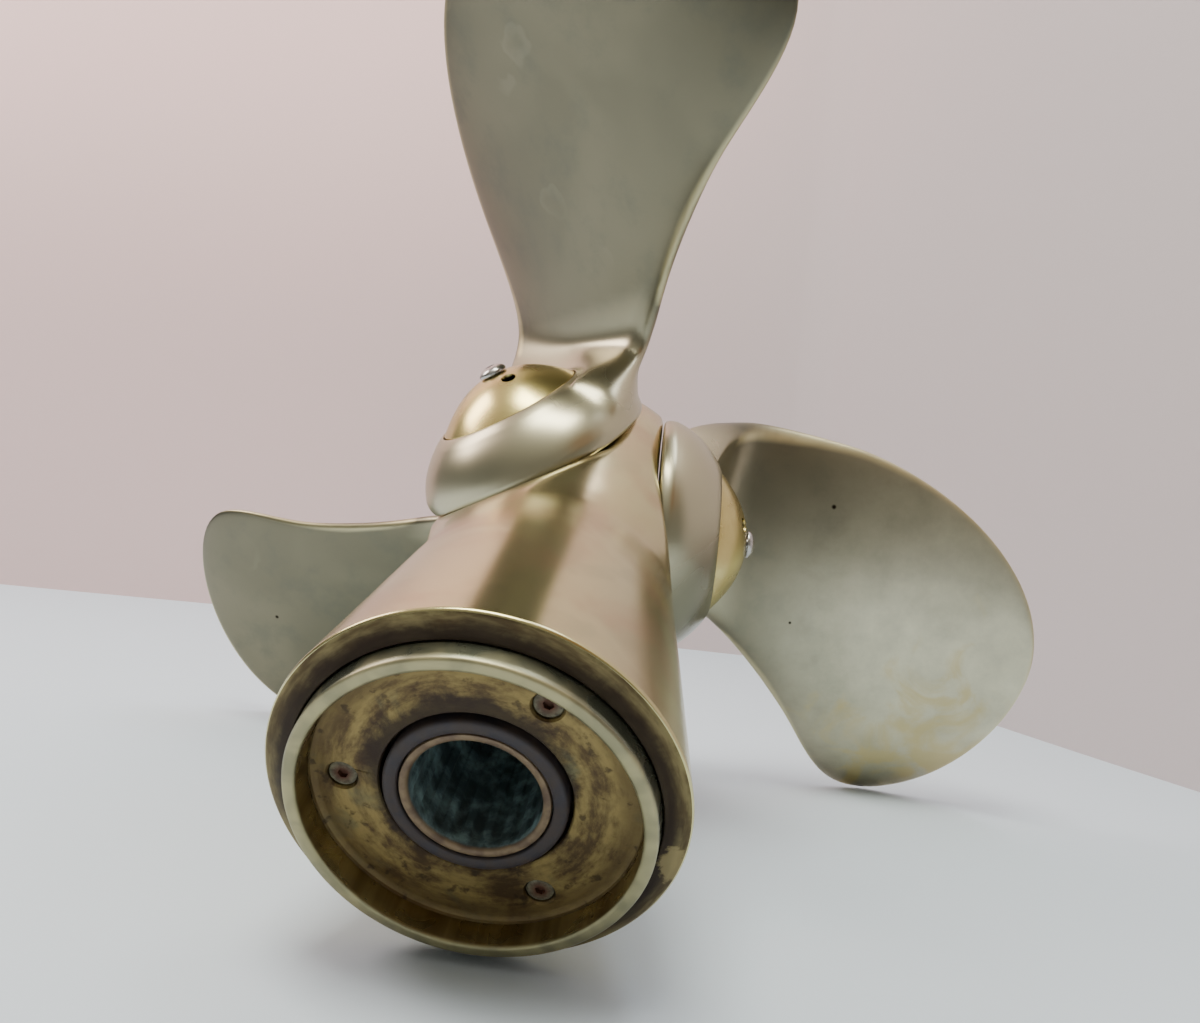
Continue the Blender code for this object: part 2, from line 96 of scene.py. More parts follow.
# Soft lights: name, place, target, size, power in watts, colour.
LIGHTS = [
    ("soft_top", (-0.12, -0.30, 1.15), (0, 0, 0.1), (0.62, 0.38), 13, "#fffbee"),
    ("soft_left", (-0.95, 0.08, 0.75), (0, 0, 0.12), (0.35, 0.45), 6, "#ffeee8"),
    ("soft_back", (0.5, 0.25, 1.3), (0, 0.1, 0.1), (0.8, 0.6), 8, "#f4f6ff"),
]
# The camera in the hub's axes: where it stands, then its right, down and forward directions.
CAMERA_AT = (0.11992, 0.11918, 0.17070)
CAMERA_RIGHT = (0.886786, -0.441388, -0.137064)
CAMERA_DOWN = (-0.350055, -0.835076, 0.424392)
CAMERA_FORWARD = (-0.301781, -0.328366, -0.895044)
CAMERA_LENS = 28.39


def hub_matrix():
    """The hub's axes: z out of the large end, y towards the top blade's pivot."""
    joints = {joint["child"]: joint for joint in frame["joints"]}
    pivots = [Vector(joint["axis"]).normalized() for joint in joints.values()]
    z = -(pivots[0] + pivots[1] + pivots[2]).normalized()
    top = joints["blade_unit_1"]
    y = Vector(top["axis"])
    y = (y - z * y.dot(z)).normalized()
    x = y.cross(z)
    matrix = Matrix((x, y, z)).transposed().to_4x4()
    matrix.translation = Vector(top["pos_m"]) + z * PIVOT_DEPTH
    return matrix


def pivot_matrix(index):
    """A pivot's axes on the hub: y outwards along the pin, z to the large end."""
    around = Matrix.Rotation(-2 * math.pi * index / 3, 4, "Z")
    return around @ Matrix.Translation((0, 0, -PIVOT_DEPTH)) @ Matrix.Rotation(-PIVOT_LEAN, 4, "X")


def blade_matrix(index):
    return HUB @ pivot_matrix(index) @ Matrix.Rotation(math.radians(BLADE_TURN_DEG[index]), 4, "Y")


def linear(code):
    """Turn an sRGB hex colour into linear red, green, blue and alpha."""
    parts = [int(code[i:i + 2], 16) / 255 for i in (1, 3, 5)]
    parts = [c / 12.92 if c <= 0.04045 else ((c + 0.055) / 1.055) ** 2.4 for c in parts]
    return (*parts, 1.0)


HUB = hub_matrix()


class PropellerSizes(bpy.types.PropertyGroup):
    """Sizes of the propeller's own pieces."""

    rim_radius: bpy.props.FloatProperty(
        name="Rim radius", description="Radius of the hub at the rim of its large end",
        default=0.0530, unit="LENGTH", precision=4)
    seat_height: bpy.props.FloatProperty(
        name="Seat height", description="Height of a boss's round seat above the hub's axis",
        default=0.0300, unit="LENGTH", precision=4)
    seat_radius: bpy.props.FloatProperty(
        name="Seat radius", description="Radius of the round recess that a boss turns in",
        default=0.0447, unit="LENGTH", precision=4)
    flat_height: bpy.props.FloatProperty(
        name="Flat height", description="Height of the milled flat round a seat",
        default=0.0303, unit="LENGTH", precision=4)
    flat_front: bpy.props.FloatProperty(
        name="Flat front", description="Where the milled flat meets the sloping facet",
        default=0.0270, unit="LENGTH", precision=4)
    facet_blend: bpy.props.FloatProperty(
        name="Facet blend", description="Width over which a facet's edge is polished round",
        default=0.0030, unit="LENGTH", precision=4)
    spigot_radius: bpy.props.FloatProperty(
        name="Collar radius", description="Outer radius of the collar on the large end",
        default=0.0456, unit="LENGTH", precision=4)
    spigot_inner: bpy.props.FloatProperty(
        name="Collar inner radius", description="Inner radius of the collar",
        default=0.0417, unit="LENGTH", precision=4)
    spigot_rise: bpy.props.FloatProperty(
        name="Collar rise", description="Height of the collar's lip above the rim",
        default=0.0078, unit="LENGTH", precision=4)
    sleeve_radius: bpy.props.FloatProperty(
        name="Bush radius", description="Outer radius of the dark bush in the bore",
        default=0.0232, unit="LENGTH", precision=4)
    liner_radius: bpy.props.FloatProperty(
        name="Liner radius", description="Outer radius of the splined liner",
        default=0.0191, unit="LENGTH", precision=4)
    liner_bore: bpy.props.FloatProperty(
        name="Liner bore", description="Radius over the splines of the liner",
        default=0.0167, unit="LENGTH", precision=4)
    cap_radius: bpy.props.FloatProperty(
        name="Cap radius", description="Radius of a pivot's domed cap",
        default=0.0267, unit="LENGTH", precision=4)
    cap_apex: bpy.props.FloatProperty(
        name="Cap apex", description="Height of the dome's top above the hub's axis",
        default=0.0655, unit="LENGTH", precision=4)
    spanner_hole: bpy.props.FloatProperty(
        name="Spanner hole", description="Radius of the three holes in a cap",
        default=0.0026, unit="LENGTH", precision=4)


class PropellerColours(bpy.types.PropertyGroup):
    """Colours a user would change."""

    blade_bronze: bpy.props.FloatVectorProperty(
        name="Blade bronze", description="Satin olive bronze of the blades",
        subtype="COLOR", size=4, min=0, max=1, default=linear("#73705e"))
    hub_bronze: bpy.props.FloatVectorProperty(
        name="Hub bronze", description="Polished bronze of the hub",
        subtype="COLOR", size=4, min=0, max=1, default=linear("#cbc397"))
    cap_bronze: bpy.props.FloatVectorProperty(
        name="Cap bronze", description="Golden bronze of the pivot caps",
        subtype="COLOR", size=4, min=0, max=1, default=linear("#dacb88"))


def sizes():
    return bpy.context.scene.propeller_sizes


def colours():
    return bpy.context.scene.propeller_colours


def node(tree, kind, inputs=None, output=0, **settings):
    """Add a node, give it its settings, set or link its inputs, and return one output."""
    new = tree.nodes.new(kind)
    for key, value in settings.items():
        setattr(new, key, value)
    for key, value in (inputs or {}).items():
        socket = new.inputs[key]
        if isinstance(value, bpy.types.NodeSocket):
            tree.links.new(value, socket)
        else:
            socket.default_value = value
    return new.outputs[output]


def start_material(name, metallic, roughness):
    material = bpy.data.materials.new(name)
    material.use_nodes = True
    tree = material.node_tree
    shader = tree.nodes["Principled BSDF"]
    shader.inputs["Metallic"].default_value = metallic
    shader.inputs["Roughness"].default_value = roughness
    return material, tree, shader


def hub_coordinates(tree):
    """Object coordinates seen in the hub's own axes."""
    spot = node(tree, "ShaderNodeTexCoord", output="Object")
    return node(tree, "ShaderNodeMapping", {
        "Vector": spot, "Location": HUB.translation, "Rotation": HUB.to_euler()},
        vector_type="TEXTURE")


def satin_bronze():
    """Cast manganese bronze, linished satin.

    The eye sees a dull olive with soft clouds and faint dried water rings. The boss is
    buffed brighter than the blade, the edges are rubbed pale, and the right blade is
    paler and more golden towards its tip, with yellow patches along its lower edge.
    Painted shade darkens the lower side of the right boss.
    """
    material, tree, shader = start_material("satin_bronze", 1.0, 0.4)
    spot = node(tree, "ShaderNodeTexCoord", output="Object")
    # Clouds 60 mm across, the haze of a hand-held polishing mop.
    clouds = node(tree, "ShaderNodeTexNoise", {
        "Vector": spot, "Scale": 1 / 0.060, "Detail": 2.0, "Distortion": 0.6})
    clouds = node(tree, "ShaderNodeMapRange", {0: clouds, 1: 0.35, 2: 0.70},
                  interpolation_type="SMOOTHSTEP")
    colour = node(tree, "ShaderNodeMix", {
        0: clouds, 6: colours().blade_bronze, 7: linear("#817d69")}, 2, data_type="RGBA")
    # Grey-green film in patches of about 16 mm.
    film = node(tree, "ShaderNodeTexNoise", {
        "Vector": spot, "Scale": 1 / 0.016, "Detail": 6.0, "Roughness": 0.62})
    patches = node(tree, "ShaderNodeMapRange", {0: film, 1: 0.46, 2: 0.74, 4: 0.40},
                   interpolation_type="SMOOTHSTEP")
    colour = node(tree, "ShaderNodeMix", {0: patches, 6: colour, 7: linear("#62655a")}, 2,
                  data_type="RGBA")
    golden = golden_share(tree, spot, film)
    colour = node(tree, "ShaderNodeMix", {0: golden, 6: colour, 7: linear("#d0ccb2")}, 2,
                  data_type="RGBA")
    yellow_patches = yellow_patch_share(tree, spot)
    colour = node(tree, "ShaderNodeMix", {0: yellow_patches, 6: colour, 7: linear("#bfae78")}, 2,
                  data_type="RGBA")
    rings = water_rings(tree, spot)
    colour = node(tree, "ShaderNodeMix", {0: rings, 6: colour, 7: linear("#aaa78f")}, 2,
                  data_type="RGBA")
    buffed = node(tree, "ShaderNodeAttribute", attribute_name="buffed", output="Fac")
    colour = node(tree, "ShaderNodeMix", {0: buffed, 6: colour, 7: linear("#b7b296")}, 2,
                  data_type="RGBA")
    # Painted shade darkens the lower side of the right boss.
    dull = boss_shade_share(tree, spot)
    colour = node(tree, "ShaderNodeMix", {0: dull, 6: colour, 7: linear("#626050")}, 2,
                  data_type="RGBA")
    edge = node(tree, "ShaderNodeAttribute", attribute_name="edge", output="Fac")
    edge = node(tree, "ShaderNodeMapRange", {0: edge, 1: 0.30, 2: 0.95, 4: 0.7},
                interpolation_type="SMOOTHSTEP")
    colour = node(tree, "ShaderNodeMix", {0: edge, 6: colour, 7: linear("#d8d0a4")}, 2,
                  data_type="RGBA")
    pits = casting_pits(tree, spot)
    colour = node(tree, "ShaderNodeMix", {0: pits, 6: colour, 7: linear("#241d16")}, 2,
                  data_type="RGBA")
    tree.links.new(colour, shader.inputs["Base Color"])
    rough = node(tree, "ShaderNodeMapRange", {0: clouds, 3: 0.36, 4: 0.43})
    shine = node(tree, "ShaderNodeMapRange", {0: buffed, 3: 1.0, 4: 0.72})
    rough = node(tree, "ShaderNodeMath", {0: rough, 1: shine}, operation="MULTIPLY")
    tree.links.new(rough, shader.inputs["Roughness"])
    # Linishing marks are 0.1 mm apart on the real blade. They are drawn at 1.5 mm to show.
    marks = node(tree, "ShaderNodeTexNoise", {
        "Vector": spot, "Scale": 1 / 0.0015, "Detail": 4.0, "Roughness": 0.6})
    depth = node(tree, "ShaderNodeMapRange", {0: buffed, 1: 0.0, 2: 0.7, 3: 0.30, 4: 0.0})
    bump = node(tree, "ShaderNodeBump", {
        "Height": marks, "Strength": depth, "Distance": 0.00005})
    tree.links.new(bump, shader.inputs["Normal"])
    return material


def golden_share(tree, spot, film):
    """How golden a point is: the right blade, more towards its tip and in uneven clouds."""
    reach = node(tree, "ShaderNodeVectorMath", {0: spot, 1: (0.165, 0.090, 0.075)}, "Value",
                 operation="DISTANCE")
    near = node(tree, "ShaderNodeMapRange", {0: reach, 1: 0.120, 2: 0.035},
                interpolation_type="SMOOTHSTEP")
    uneven = node(tree, "ShaderNodeMapRange", {0: film, 1: 0.30, 2: 0.70, 3: 1.0, 4: 0.65})
    return node(tree, "ShaderNodeMath", {0: near, 1: uneven}, operation="MULTIPLY")


def yellow_patch_share(tree, spot):
    """Yellow patches along the right blade's lower edge."""
    yellow_patches = node(tree, "ShaderNodeTexNoise", {
        "Vector": spot, "Scale": 1 / 0.022, "Detail": 5.0, "Distortion": 0.8})
    reach = node(tree, "ShaderNodeVectorMath", {0: spot, 1: (0.1620, 0.1040, 0.0150)}, "Value",
                 operation="DISTANCE")
    yellow_patches = node(tree, "ShaderNodeMath", {0: reach, 1: -4.0, 2: yellow_patches},
                   operation="MULTIPLY_ADD")
    return node(tree, "ShaderNodeMapRange", {0: yellow_patches, 1: 0.30, 2: 0.48, 4: 0.7},
                interpolation_type="SMOOTHSTEP")


def boss_shade_share(tree, spot):
    """Painted shade on the lower side of the right boss, standing in for a dark reflection there.
    """
    reach = node(tree, "ShaderNodeVectorMath", {0: spot, 1: (0.0500, -0.0010, 0.0880)}, "Value",
                 operation="DISTANCE")
    return node(tree, "ShaderNodeMapRange", {0: reach, 1: 0.036, 2: 0.014, 4: 0.8},
                interpolation_type="SMOOTHSTEP")


def water_rings(tree, spot):
    """Faint irregular rings, 12 to 18 mm across, where drops dried."""
    wander = node(tree, "ShaderNodeTexNoise", {
        "Vector": spot, "Scale": 1 / 0.012, "Detail": 2.0}, output="Color")
    bent = node(tree, "ShaderNodeVectorMath", {0: wander, 1: (0.010, 0.010, 0.010), 2: spot},
                operation="MULTIPLY_ADD")
    drops = node(tree, "ShaderNodeTexVoronoi", {
        "Vector": bent, "Scale": 38.0, "Randomness": 1.0}, output="Distance")
    inner = node(tree, "ShaderNodeMapRange", {0: drops, 1: 0.20, 2: 0.29},
                 interpolation_type="SMOOTHSTEP")
    outer = node(tree, "ShaderNodeMapRange", {0: drops, 1: 0.33, 2: 0.29},
                 interpolation_type="SMOOTHSTEP")
    ring = node(tree, "ShaderNodeMath", {0: inner, 1: outer}, operation="MULTIPLY")
    few = node(tree, "ShaderNodeTexNoise", {"Vector": spot, "Scale": 1 / 0.045, "Detail": 1.0})
    few = node(tree, "ShaderNodeMapRange", {0: few, 1: 0.50, 2: 0.62, 4: 0.13},
               interpolation_type="SMOOTHSTEP")
    return node(tree, "ShaderNodeMath", {0: ring, 1: few}, operation="MULTIPLY")


def casting_pits(tree, spot):
    """Three dark pits in the lower blades and the bruise on the right blade's tip."""
    near = 1.0
    for place, size in (((0.1013, 0.0760, 0.1295), 0.0009), ((0.0879, 0.0766, 0.0782), 0.0006),
                        ((-0.1498, 0.0976, 0.0518), 0.0008), ((0.1321, 0.1183, 0.0008), 0.0016)):
        reach = node(tree, "ShaderNodeVectorMath", {0: spot, 1: place}, "Value",
                     operation="DISTANCE")
        reach = node(tree, "ShaderNodeMapRange", {0: reach, 1: size * 0.6, 2: size * 1.4})
        near = node(tree, "ShaderNodeMath", {0: reach, 1: near}, operation="MINIMUM")
    return node(tree, "ShaderNodeMath", {0: 1.0, 1: near}, operation="SUBTRACT")


def polished_bronze():
    """Turned and buffed bronze: soft clear reflections with a faint turning grain."""
    material, tree, shader = start_material("polished_bronze", 1.0, 0.2)
    spot = hub_coordinates(tree)
    clouds = node(tree, "ShaderNodeTexNoise", {
        "Vector": spot, "Scale": 1 / 0.030, "Detail": 3.0, "Distortion": 0.5})
    tone = node(tree, "ShaderNodeMapRange", {0: clouds, 1: 0.35, 2: 0.70},
                interpolation_type="SMOOTHSTEP")
    colour = node(tree, "ShaderNodeMix", {
        0: tone, 6: colours().hub_bronze, 7: linear("#c0ab86")}, 2, data_type="RGBA")
    green = node(tree, "ShaderNodeTexNoise", {
        "Vector": spot, "Scale": 1 / 0.022, "Detail": 4.0, "Distortion": 0.6})
    green = node(tree, "ShaderNodeMapRange", {0: green, 1: 0.50, 2: 0.66, 4: 0.6},
                 interpolation_type="SMOOTHSTEP")
    colour = node(tree, "ShaderNodeMix", {0: green, 6: colour, 7: linear("#b9b48c")}, 2,
                  data_type="RGBA")
    edge = node(tree, "ShaderNodeAttribute", attribute_name="edge", output="Fac")
    colour = node(tree, "ShaderNodeMix", {0: edge, 6: colour, 7: linear("#cfc690")}, 2,
                  data_type="RGBA")
    tree.links.new(colour, shader.inputs["Base Color"])
    rough = node(tree, "ShaderNodeMapRange", {0: clouds, 1: 0.3, 2: 0.7, 3: 0.19, 4: 0.27})
    tree.links.new(rough, shader.inputs["Roughness"])
    # Turning marks run round the hub, 0.6 mm apart.
    grain = node(tree, "ShaderNodeMapping", {"Vector": spot, "Scale": (0.08, 0.08, 1.0)})
    marks = node(tree, "ShaderNodeTexNoise", {
        "Vector": grain, "Scale": 1 / 0.0006, "Detail": 4.0, "Roughness": 0.6})
    bump = node(tree, "ShaderNodeBump", {
        "Height": marks, "Strength": 0.12, "Distance": 0.00005})
    tree.links.new(bump, shader.inputs["Normal"])
    return material


def golden_bronze():
    """Polished bronze of the caps, yellower than the blades, hazed by fingers."""
    material, tree, shader = start_material("golden_bronze", 1.0, 0.25)
    spot = node(tree, "ShaderNodeTexCoord", output="Object")
    clouds = node(tree, "ShaderNodeTexNoise", {
        "Vector": spot, "Scale": 1 / 0.018, "Detail": 3.0, "Distortion": 0.5})
    tone = node(tree, "ShaderNodeMapRange", {0: clouds, 1: 0.35, 2: 0.70},
                interpolation_type="SMOOTHSTEP")
    colour = node(tree, "ShaderNodeMix", {
        0: tone, 6: colours().cap_bronze, 7: linear("#c4b374")}, 2, data_type="RGBA")
    # Painted shade in the spanner holes, near black below the dome's surface.
    deep = node(tree, "ShaderNodeAttribute", attribute_name="deep", output="Fac")
    deep = node(tree, "ShaderNodeMapRange", {0: deep, 1: 0.02, 2: 0.20},
                interpolation_type="SMOOTHSTEP")
    colour = node(tree, "ShaderNodeMix", {0: deep, 6: colour, 7: linear("#17120d")}, 2,
                  data_type="RGBA")
    tree.links.new(colour, shader.inputs["Base Color"])
    rough = node(tree, "ShaderNodeMapRange", {0: clouds, 1: 0.3, 2: 0.7, 3: 0.22, 4: 0.30})
    tree.links.new(rough, shader.inputs["Roughness"])
    marks = node(tree, "ShaderNodeTexNoise", {
        "Vector": spot, "Scale": 1 / 0.0010, "Detail": 4.0, "Roughness": 0.6})
    bump = node(tree, "ShaderNodeBump", {
        "Height": marks, "Strength": 0.2, "Distance": 0.00005})
    tree.links.new(bump, shader.inputs["Normal"])
    return material


def swept_coordinates(tree, spot):
    """Coordinates drawn out along circles round the bore, so a pattern runs in arcs."""
    flat = node(tree, "ShaderNodeMapping", {"Vector": spot, "Scale": (1.0, 1.0, 0.0)})
    radius = node(tree, "ShaderNodeVectorMath", {0: flat}, "Value", operation="LENGTH")
    way = node(tree, "ShaderNodeVectorMath", {0: flat}, operation="NORMALIZE")
    way = node(tree, "ShaderNodeVectorMath", {0: way, "Scale": 0.010}, operation="SCALE")
    out = node(tree, "ShaderNodeCombineXYZ", {"Z": radius})
    return node(tree, "ShaderNodeVectorMath", {0: way, 1: out}, operation="ADD"), radius


def brown_shoulder():
    """Bronze that was hidden in the boat: dark brown oxide in arcs, olive outside, bare brass.

    Painted shade takes it near black inwards, in the corner by the collar and down the bore.
    """
    material, tree, shader = start_material("brown_shoulder", 0.80, 0.45)
    spot = hub_coordinates(tree)
    swept, radius = swept_coordinates(tree, spot)
    stains = node(tree, "ShaderNodeTexNoise", {
        "Vector": spot, "Scale": 1 / 0.012, "Detail": 6.0, "Roughness": 0.62, "Distortion": 0.4})
    arcs = node(tree, "ShaderNodeTexNoise", {
        "Vector": swept, "Scale": 1 / 0.0030, "Detail": 4.0, "Roughness": 0.6})
    tone = node(tree, "ShaderNodeMapRange", {0: arcs, 1: 0.36, 2: 0.68},
                interpolation_type="SMOOTHSTEP")
    colour = node(tree, "ShaderNodeMix", {
        0: tone, 6: linear("#4d4029"), 7: linear("#786c49")}, 2, data_type="RGBA")
    ragged = node(tree, "ShaderNodeMath", {0: stains, 1: 0.006, 2: radius},
                  operation="MULTIPLY_ADD")
    outside = node(tree, "ShaderNodeMapRange", {0: ragged, 1: 0.0545, 2: 0.0568},
                   interpolation_type="SMOOTHSTEP")
    colour = node(tree, "ShaderNodeMix", {0: outside, 6: colour, 7: linear("#8e8459")}, 2,
                  data_type="RGBA")
    # Painted shade: near black inwards, in the corner by the collar and down the bore.
    inside = node(tree, "ShaderNodeMapRange", {0: ragged, 1: 0.0548, 2: 0.0508, 4: 0.92},
                  interpolation_type="SMOOTHSTEP")
    colour = node(tree, "ShaderNodeMix", {0: inside, 6: colour, 7: linear("#22170f")}, 2,
                  data_type="RGBA")
    # One bare brass patch on the lower right of the rim, 12 mm long.
    reach = node(tree, "ShaderNodeVectorMath", {0: spot, 1: (0.0375, -0.0338, 0.0010)}, "Value",
                 operation="DISTANCE")
    reach = node(tree, "ShaderNodeMath", {0: stains, 1: 0.026, 2: reach},
                 operation="MULTIPLY_ADD")
    bare = node(tree, "ShaderNodeMapRange", {0: reach, 1: 0.0182, 2: 0.0160, 4: 0.5},
                interpolation_type="SMOOTHSTEP")
    colour = node(tree, "ShaderNodeMix", {0: bare, 6: colour, 7: linear("#a39365")}, 2,
                  data_type="RGBA")
    tree.links.new(colour, shader.inputs["Base Color"])
    rough = node(tree, "ShaderNodeMapRange", {0: stains, 1: 0.3, 2: 0.7, 3: 0.34, 4: 0.55})
    tree.links.new(rough, shader.inputs["Roughness"])
    bump = node(tree, "ShaderNodeBump", {
        "Height": arcs, "Strength": 0.5, "Distance": 0.0002})
    tree.links.new(bump, shader.inputs["Normal"])
    return material


def worn_bronze():
    """Collar that carried grease and salt: grey-green outside, brown inside, a paler lip."""
    material, tree, shader = start_material("worn_bronze", 0.9, 0.35)
    spot = hub_coordinates(tree)
    swept, radius = swept_coordinates(tree, spot)
    stains = node(tree, "ShaderNodeTexNoise", {
        "Vector": spot, "Scale": 1 / 0.010, "Detail": 2.0, "Distortion": 0.5})
    tone = node(tree, "ShaderNodeMapRange", {0: stains, 1: 0.35, 2: 0.65},
                interpolation_type="SMOOTHSTEP")
    outside = node(tree, "ShaderNodeMix", {
        0: tone, 6: linear("#6c7262"), 7: linear("#85846a")}, 2, data_type="RGBA")
    arcs = node(tree, "ShaderNodeTexNoise", {
        "Vector": swept, "Scale": 1 / 0.0030, "Detail": 4.0, "Roughness": 0.6})
    arcs = node(tree, "ShaderNodeMapRange", {0: arcs, 1: 0.35, 2: 0.68},
                interpolation_type="SMOOTHSTEP")
    inside = node(tree, "ShaderNodeMix", {
        0: arcs, 6: linear("#78653f"), 7: linear("#ab9a66")}, 2, data_type="RGBA")
    wall = node(tree, "ShaderNodeMapRange", {0: radius, 1: 0.0425, 2: 0.0419},
                interpolation_type="SMOOTHSTEP")
    colour = node(tree, "ShaderNodeMix", {0: wall, 6: outside, 7: inside}, 2,
                  data_type="RGBA")
    height = node(tree, "ShaderNodeSeparateXYZ", {0: spot}, "Z")
    rubbed = node(tree, "ShaderNodeMapRange", {0: height, 1: 0.0064, 2: 0.0076},
                  interpolation_type="SMOOTHSTEP")
    lip = node(tree, "ShaderNodeMix", {
        0: tone, 6: linear("#8b876a"), 7: linear("#a7a07b")}, 2, data_type="RGBA")
    colour = node(tree, "ShaderNodeMix", {0: rubbed, 6: colour, 7: lip}, 2, data_type="RGBA")
    tree.links.new(colour, shader.inputs["Base Color"])
    rough = node(tree, "ShaderNodeMapRange", {0: stains, 1: 0.3, 2: 0.7, 3: 0.22, 4: 0.36})
    rough = node(tree, "ShaderNodeMath", {0: rubbed, 1: 0.16, 2: rough},
                 operation="MULTIPLY_ADD")
    tree.links.new(rough, shader.inputs["Roughness"])
    return material


def mottled_bronze():
    """Old machined face: brown and olive stains swept in arcs, dark oil round the bush."""
    material, tree, shader = start_material("mottled_bronze", 0.65, 0.5)
    spot = hub_coordinates(tree)
    swept, radius = swept_coordinates(tree, spot)
    arcs = node(tree, "ShaderNodeTexNoise", {
        "Vector": swept, "Scale": 1 / 0.0040, "Detail": 6.0, "Roughness": 0.65})
    stains = node(tree, "ShaderNodeTexNoise", {
        "Vector": spot, "Scale": 1 / 0.014, "Detail": 7.0, "Roughness": 0.66, "Distortion": 0.4})
    mixed = node(tree, "ShaderNodeMath", {0: arcs, 1: stains}, operation="ADD")
    tone = node(tree, "ShaderNodeMapRange", {0: mixed, 1: 0.80, 2: 1.20},
                interpolation_type="SMOOTHSTEP")
    colour = node(tree, "ShaderNodeMix", {
        0: tone, 6: linear("#4c3b25"), 7: linear("#8f7d4d")}, 2, data_type="RGBA")
    green = node(tree, "ShaderNodeTexNoise", {
        "Vector": spot, "Scale": 1 / 0.016, "Detail": 4.0, "Distortion": 0.5})
    green = node(tree, "ShaderNodeMapRange", {0: green, 1: 0.56, 2: 0.68, 4: 0.6},
                 interpolation_type="SMOOTHSTEP")
    colour = node(tree, "ShaderNodeMix", {0: green, 6: colour, 7: linear("#4c5647")}, 2,
                  data_type="RGBA")
    # Oil crept out of the bush, further on the upper side, and left a dark ring.
    rise = node(tree, "ShaderNodeSeparateXYZ", {0: spot}, "Y")
    ragged = node(tree, "ShaderNodeMath", {0: stains, 1: 0.014, 2: radius},
                  operation="MULTIPLY_ADD")
    ragged = node(tree, "ShaderNodeMath", {0: rise, 1: -0.12, 2: ragged},
                  operation="MULTIPLY_ADD")
    crept = node(tree, "ShaderNodeMapRange", {0: ragged, 1: 0.0352, 2: 0.0305, 4: 0.9},
                 interpolation_type="SMOOTHSTEP")
    colour = node(tree, "ShaderNodeMix", {0: crept, 6: colour, 7: linear("#2a1f18")}, 2,
                  data_type="RGBA")
    # Old grease lies in the corner under the collar.
    corner = node(tree, "ShaderNodeMath", {0: stains, 1: 0.010, 2: radius},
                  operation="MULTIPLY_ADD")
    corner = node(tree, "ShaderNodeMapRange", {0: corner, 1: 0.0395, 2: 0.0440, 4: 0.65},
                  interpolation_type="SMOOTHSTEP")
    colour = node(tree, "ShaderNodeMix", {0: corner, 6: colour, 7: linear("#665636")}, 2,
                  data_type="RGBA")
    specks = node(tree, "ShaderNodeTexNoise", {
        "Vector": spot, "Scale": 1 / 0.0040, "Detail": 4.0})
    specks = node(tree, "ShaderNodeMapRange", {0: specks, 1: 0.60, 2: 0.70, 4: 0.7},
                  interpolation_type="SMOOTHSTEP")
    colour = node(tree, "ShaderNodeMix", {0: specks, 6: colour, 7: linear("#35281b")}, 2,
                  data_type="RGBA")
    tree.links.new(colour, shader.inputs["Base Color"])
    rough = node(tree, "ShaderNodeMapRange", {0: stains, 1: 0.3, 2: 0.7, 3: 0.36, 4: 0.60})
    tree.links.new(rough, shader.inputs["Roughness"])
    bump = node(tree, "ShaderNodeBump", {
        "Height": mixed, "Strength": 0.7, "Distance": 0.0003})
    tree.links.new(bump, shader.inputs["Normal"])
    return material


def dark_bush():
    """Rubber-lined steel bush: dull purplish grey with a brown wear."""
    material, tree, shader = start_material("dark_bush", 0.1, 0.6)
    spot = hub_coordinates(tree)
    stains = node(tree, "ShaderNodeTexNoise", {
        "Vector": spot, "Scale": 1 / 0.006, "Detail": 5.0, "Roughness": 0.6})
    tone = node(tree, "ShaderNodeMapRange", {0: stains, 1: 0.35, 2: 0.65},
                interpolation_type="SMOOTHSTEP")
    colour = node(tree, "ShaderNodeMix", {
        0: tone, 6: linear("#28242a"), 7: linear("#3a302c")}, 2, data_type="RGBA")
    tree.links.new(colour, shader.inputs["Base Color"])
    rough = node(tree, "ShaderNodeMapRange", {0: stains, 1: 0.3, 2: 0.7, 3: 0.48, 4: 0.68})
    tree.links.new(rough, shader.inputs["Roughness"])
    bump = node(tree, "ShaderNodeBump", {
        "Height": stains, "Strength": 0.5, "Distance": 0.0002})
    tree.links.new(bump, shader.inputs["Normal"])
    return material


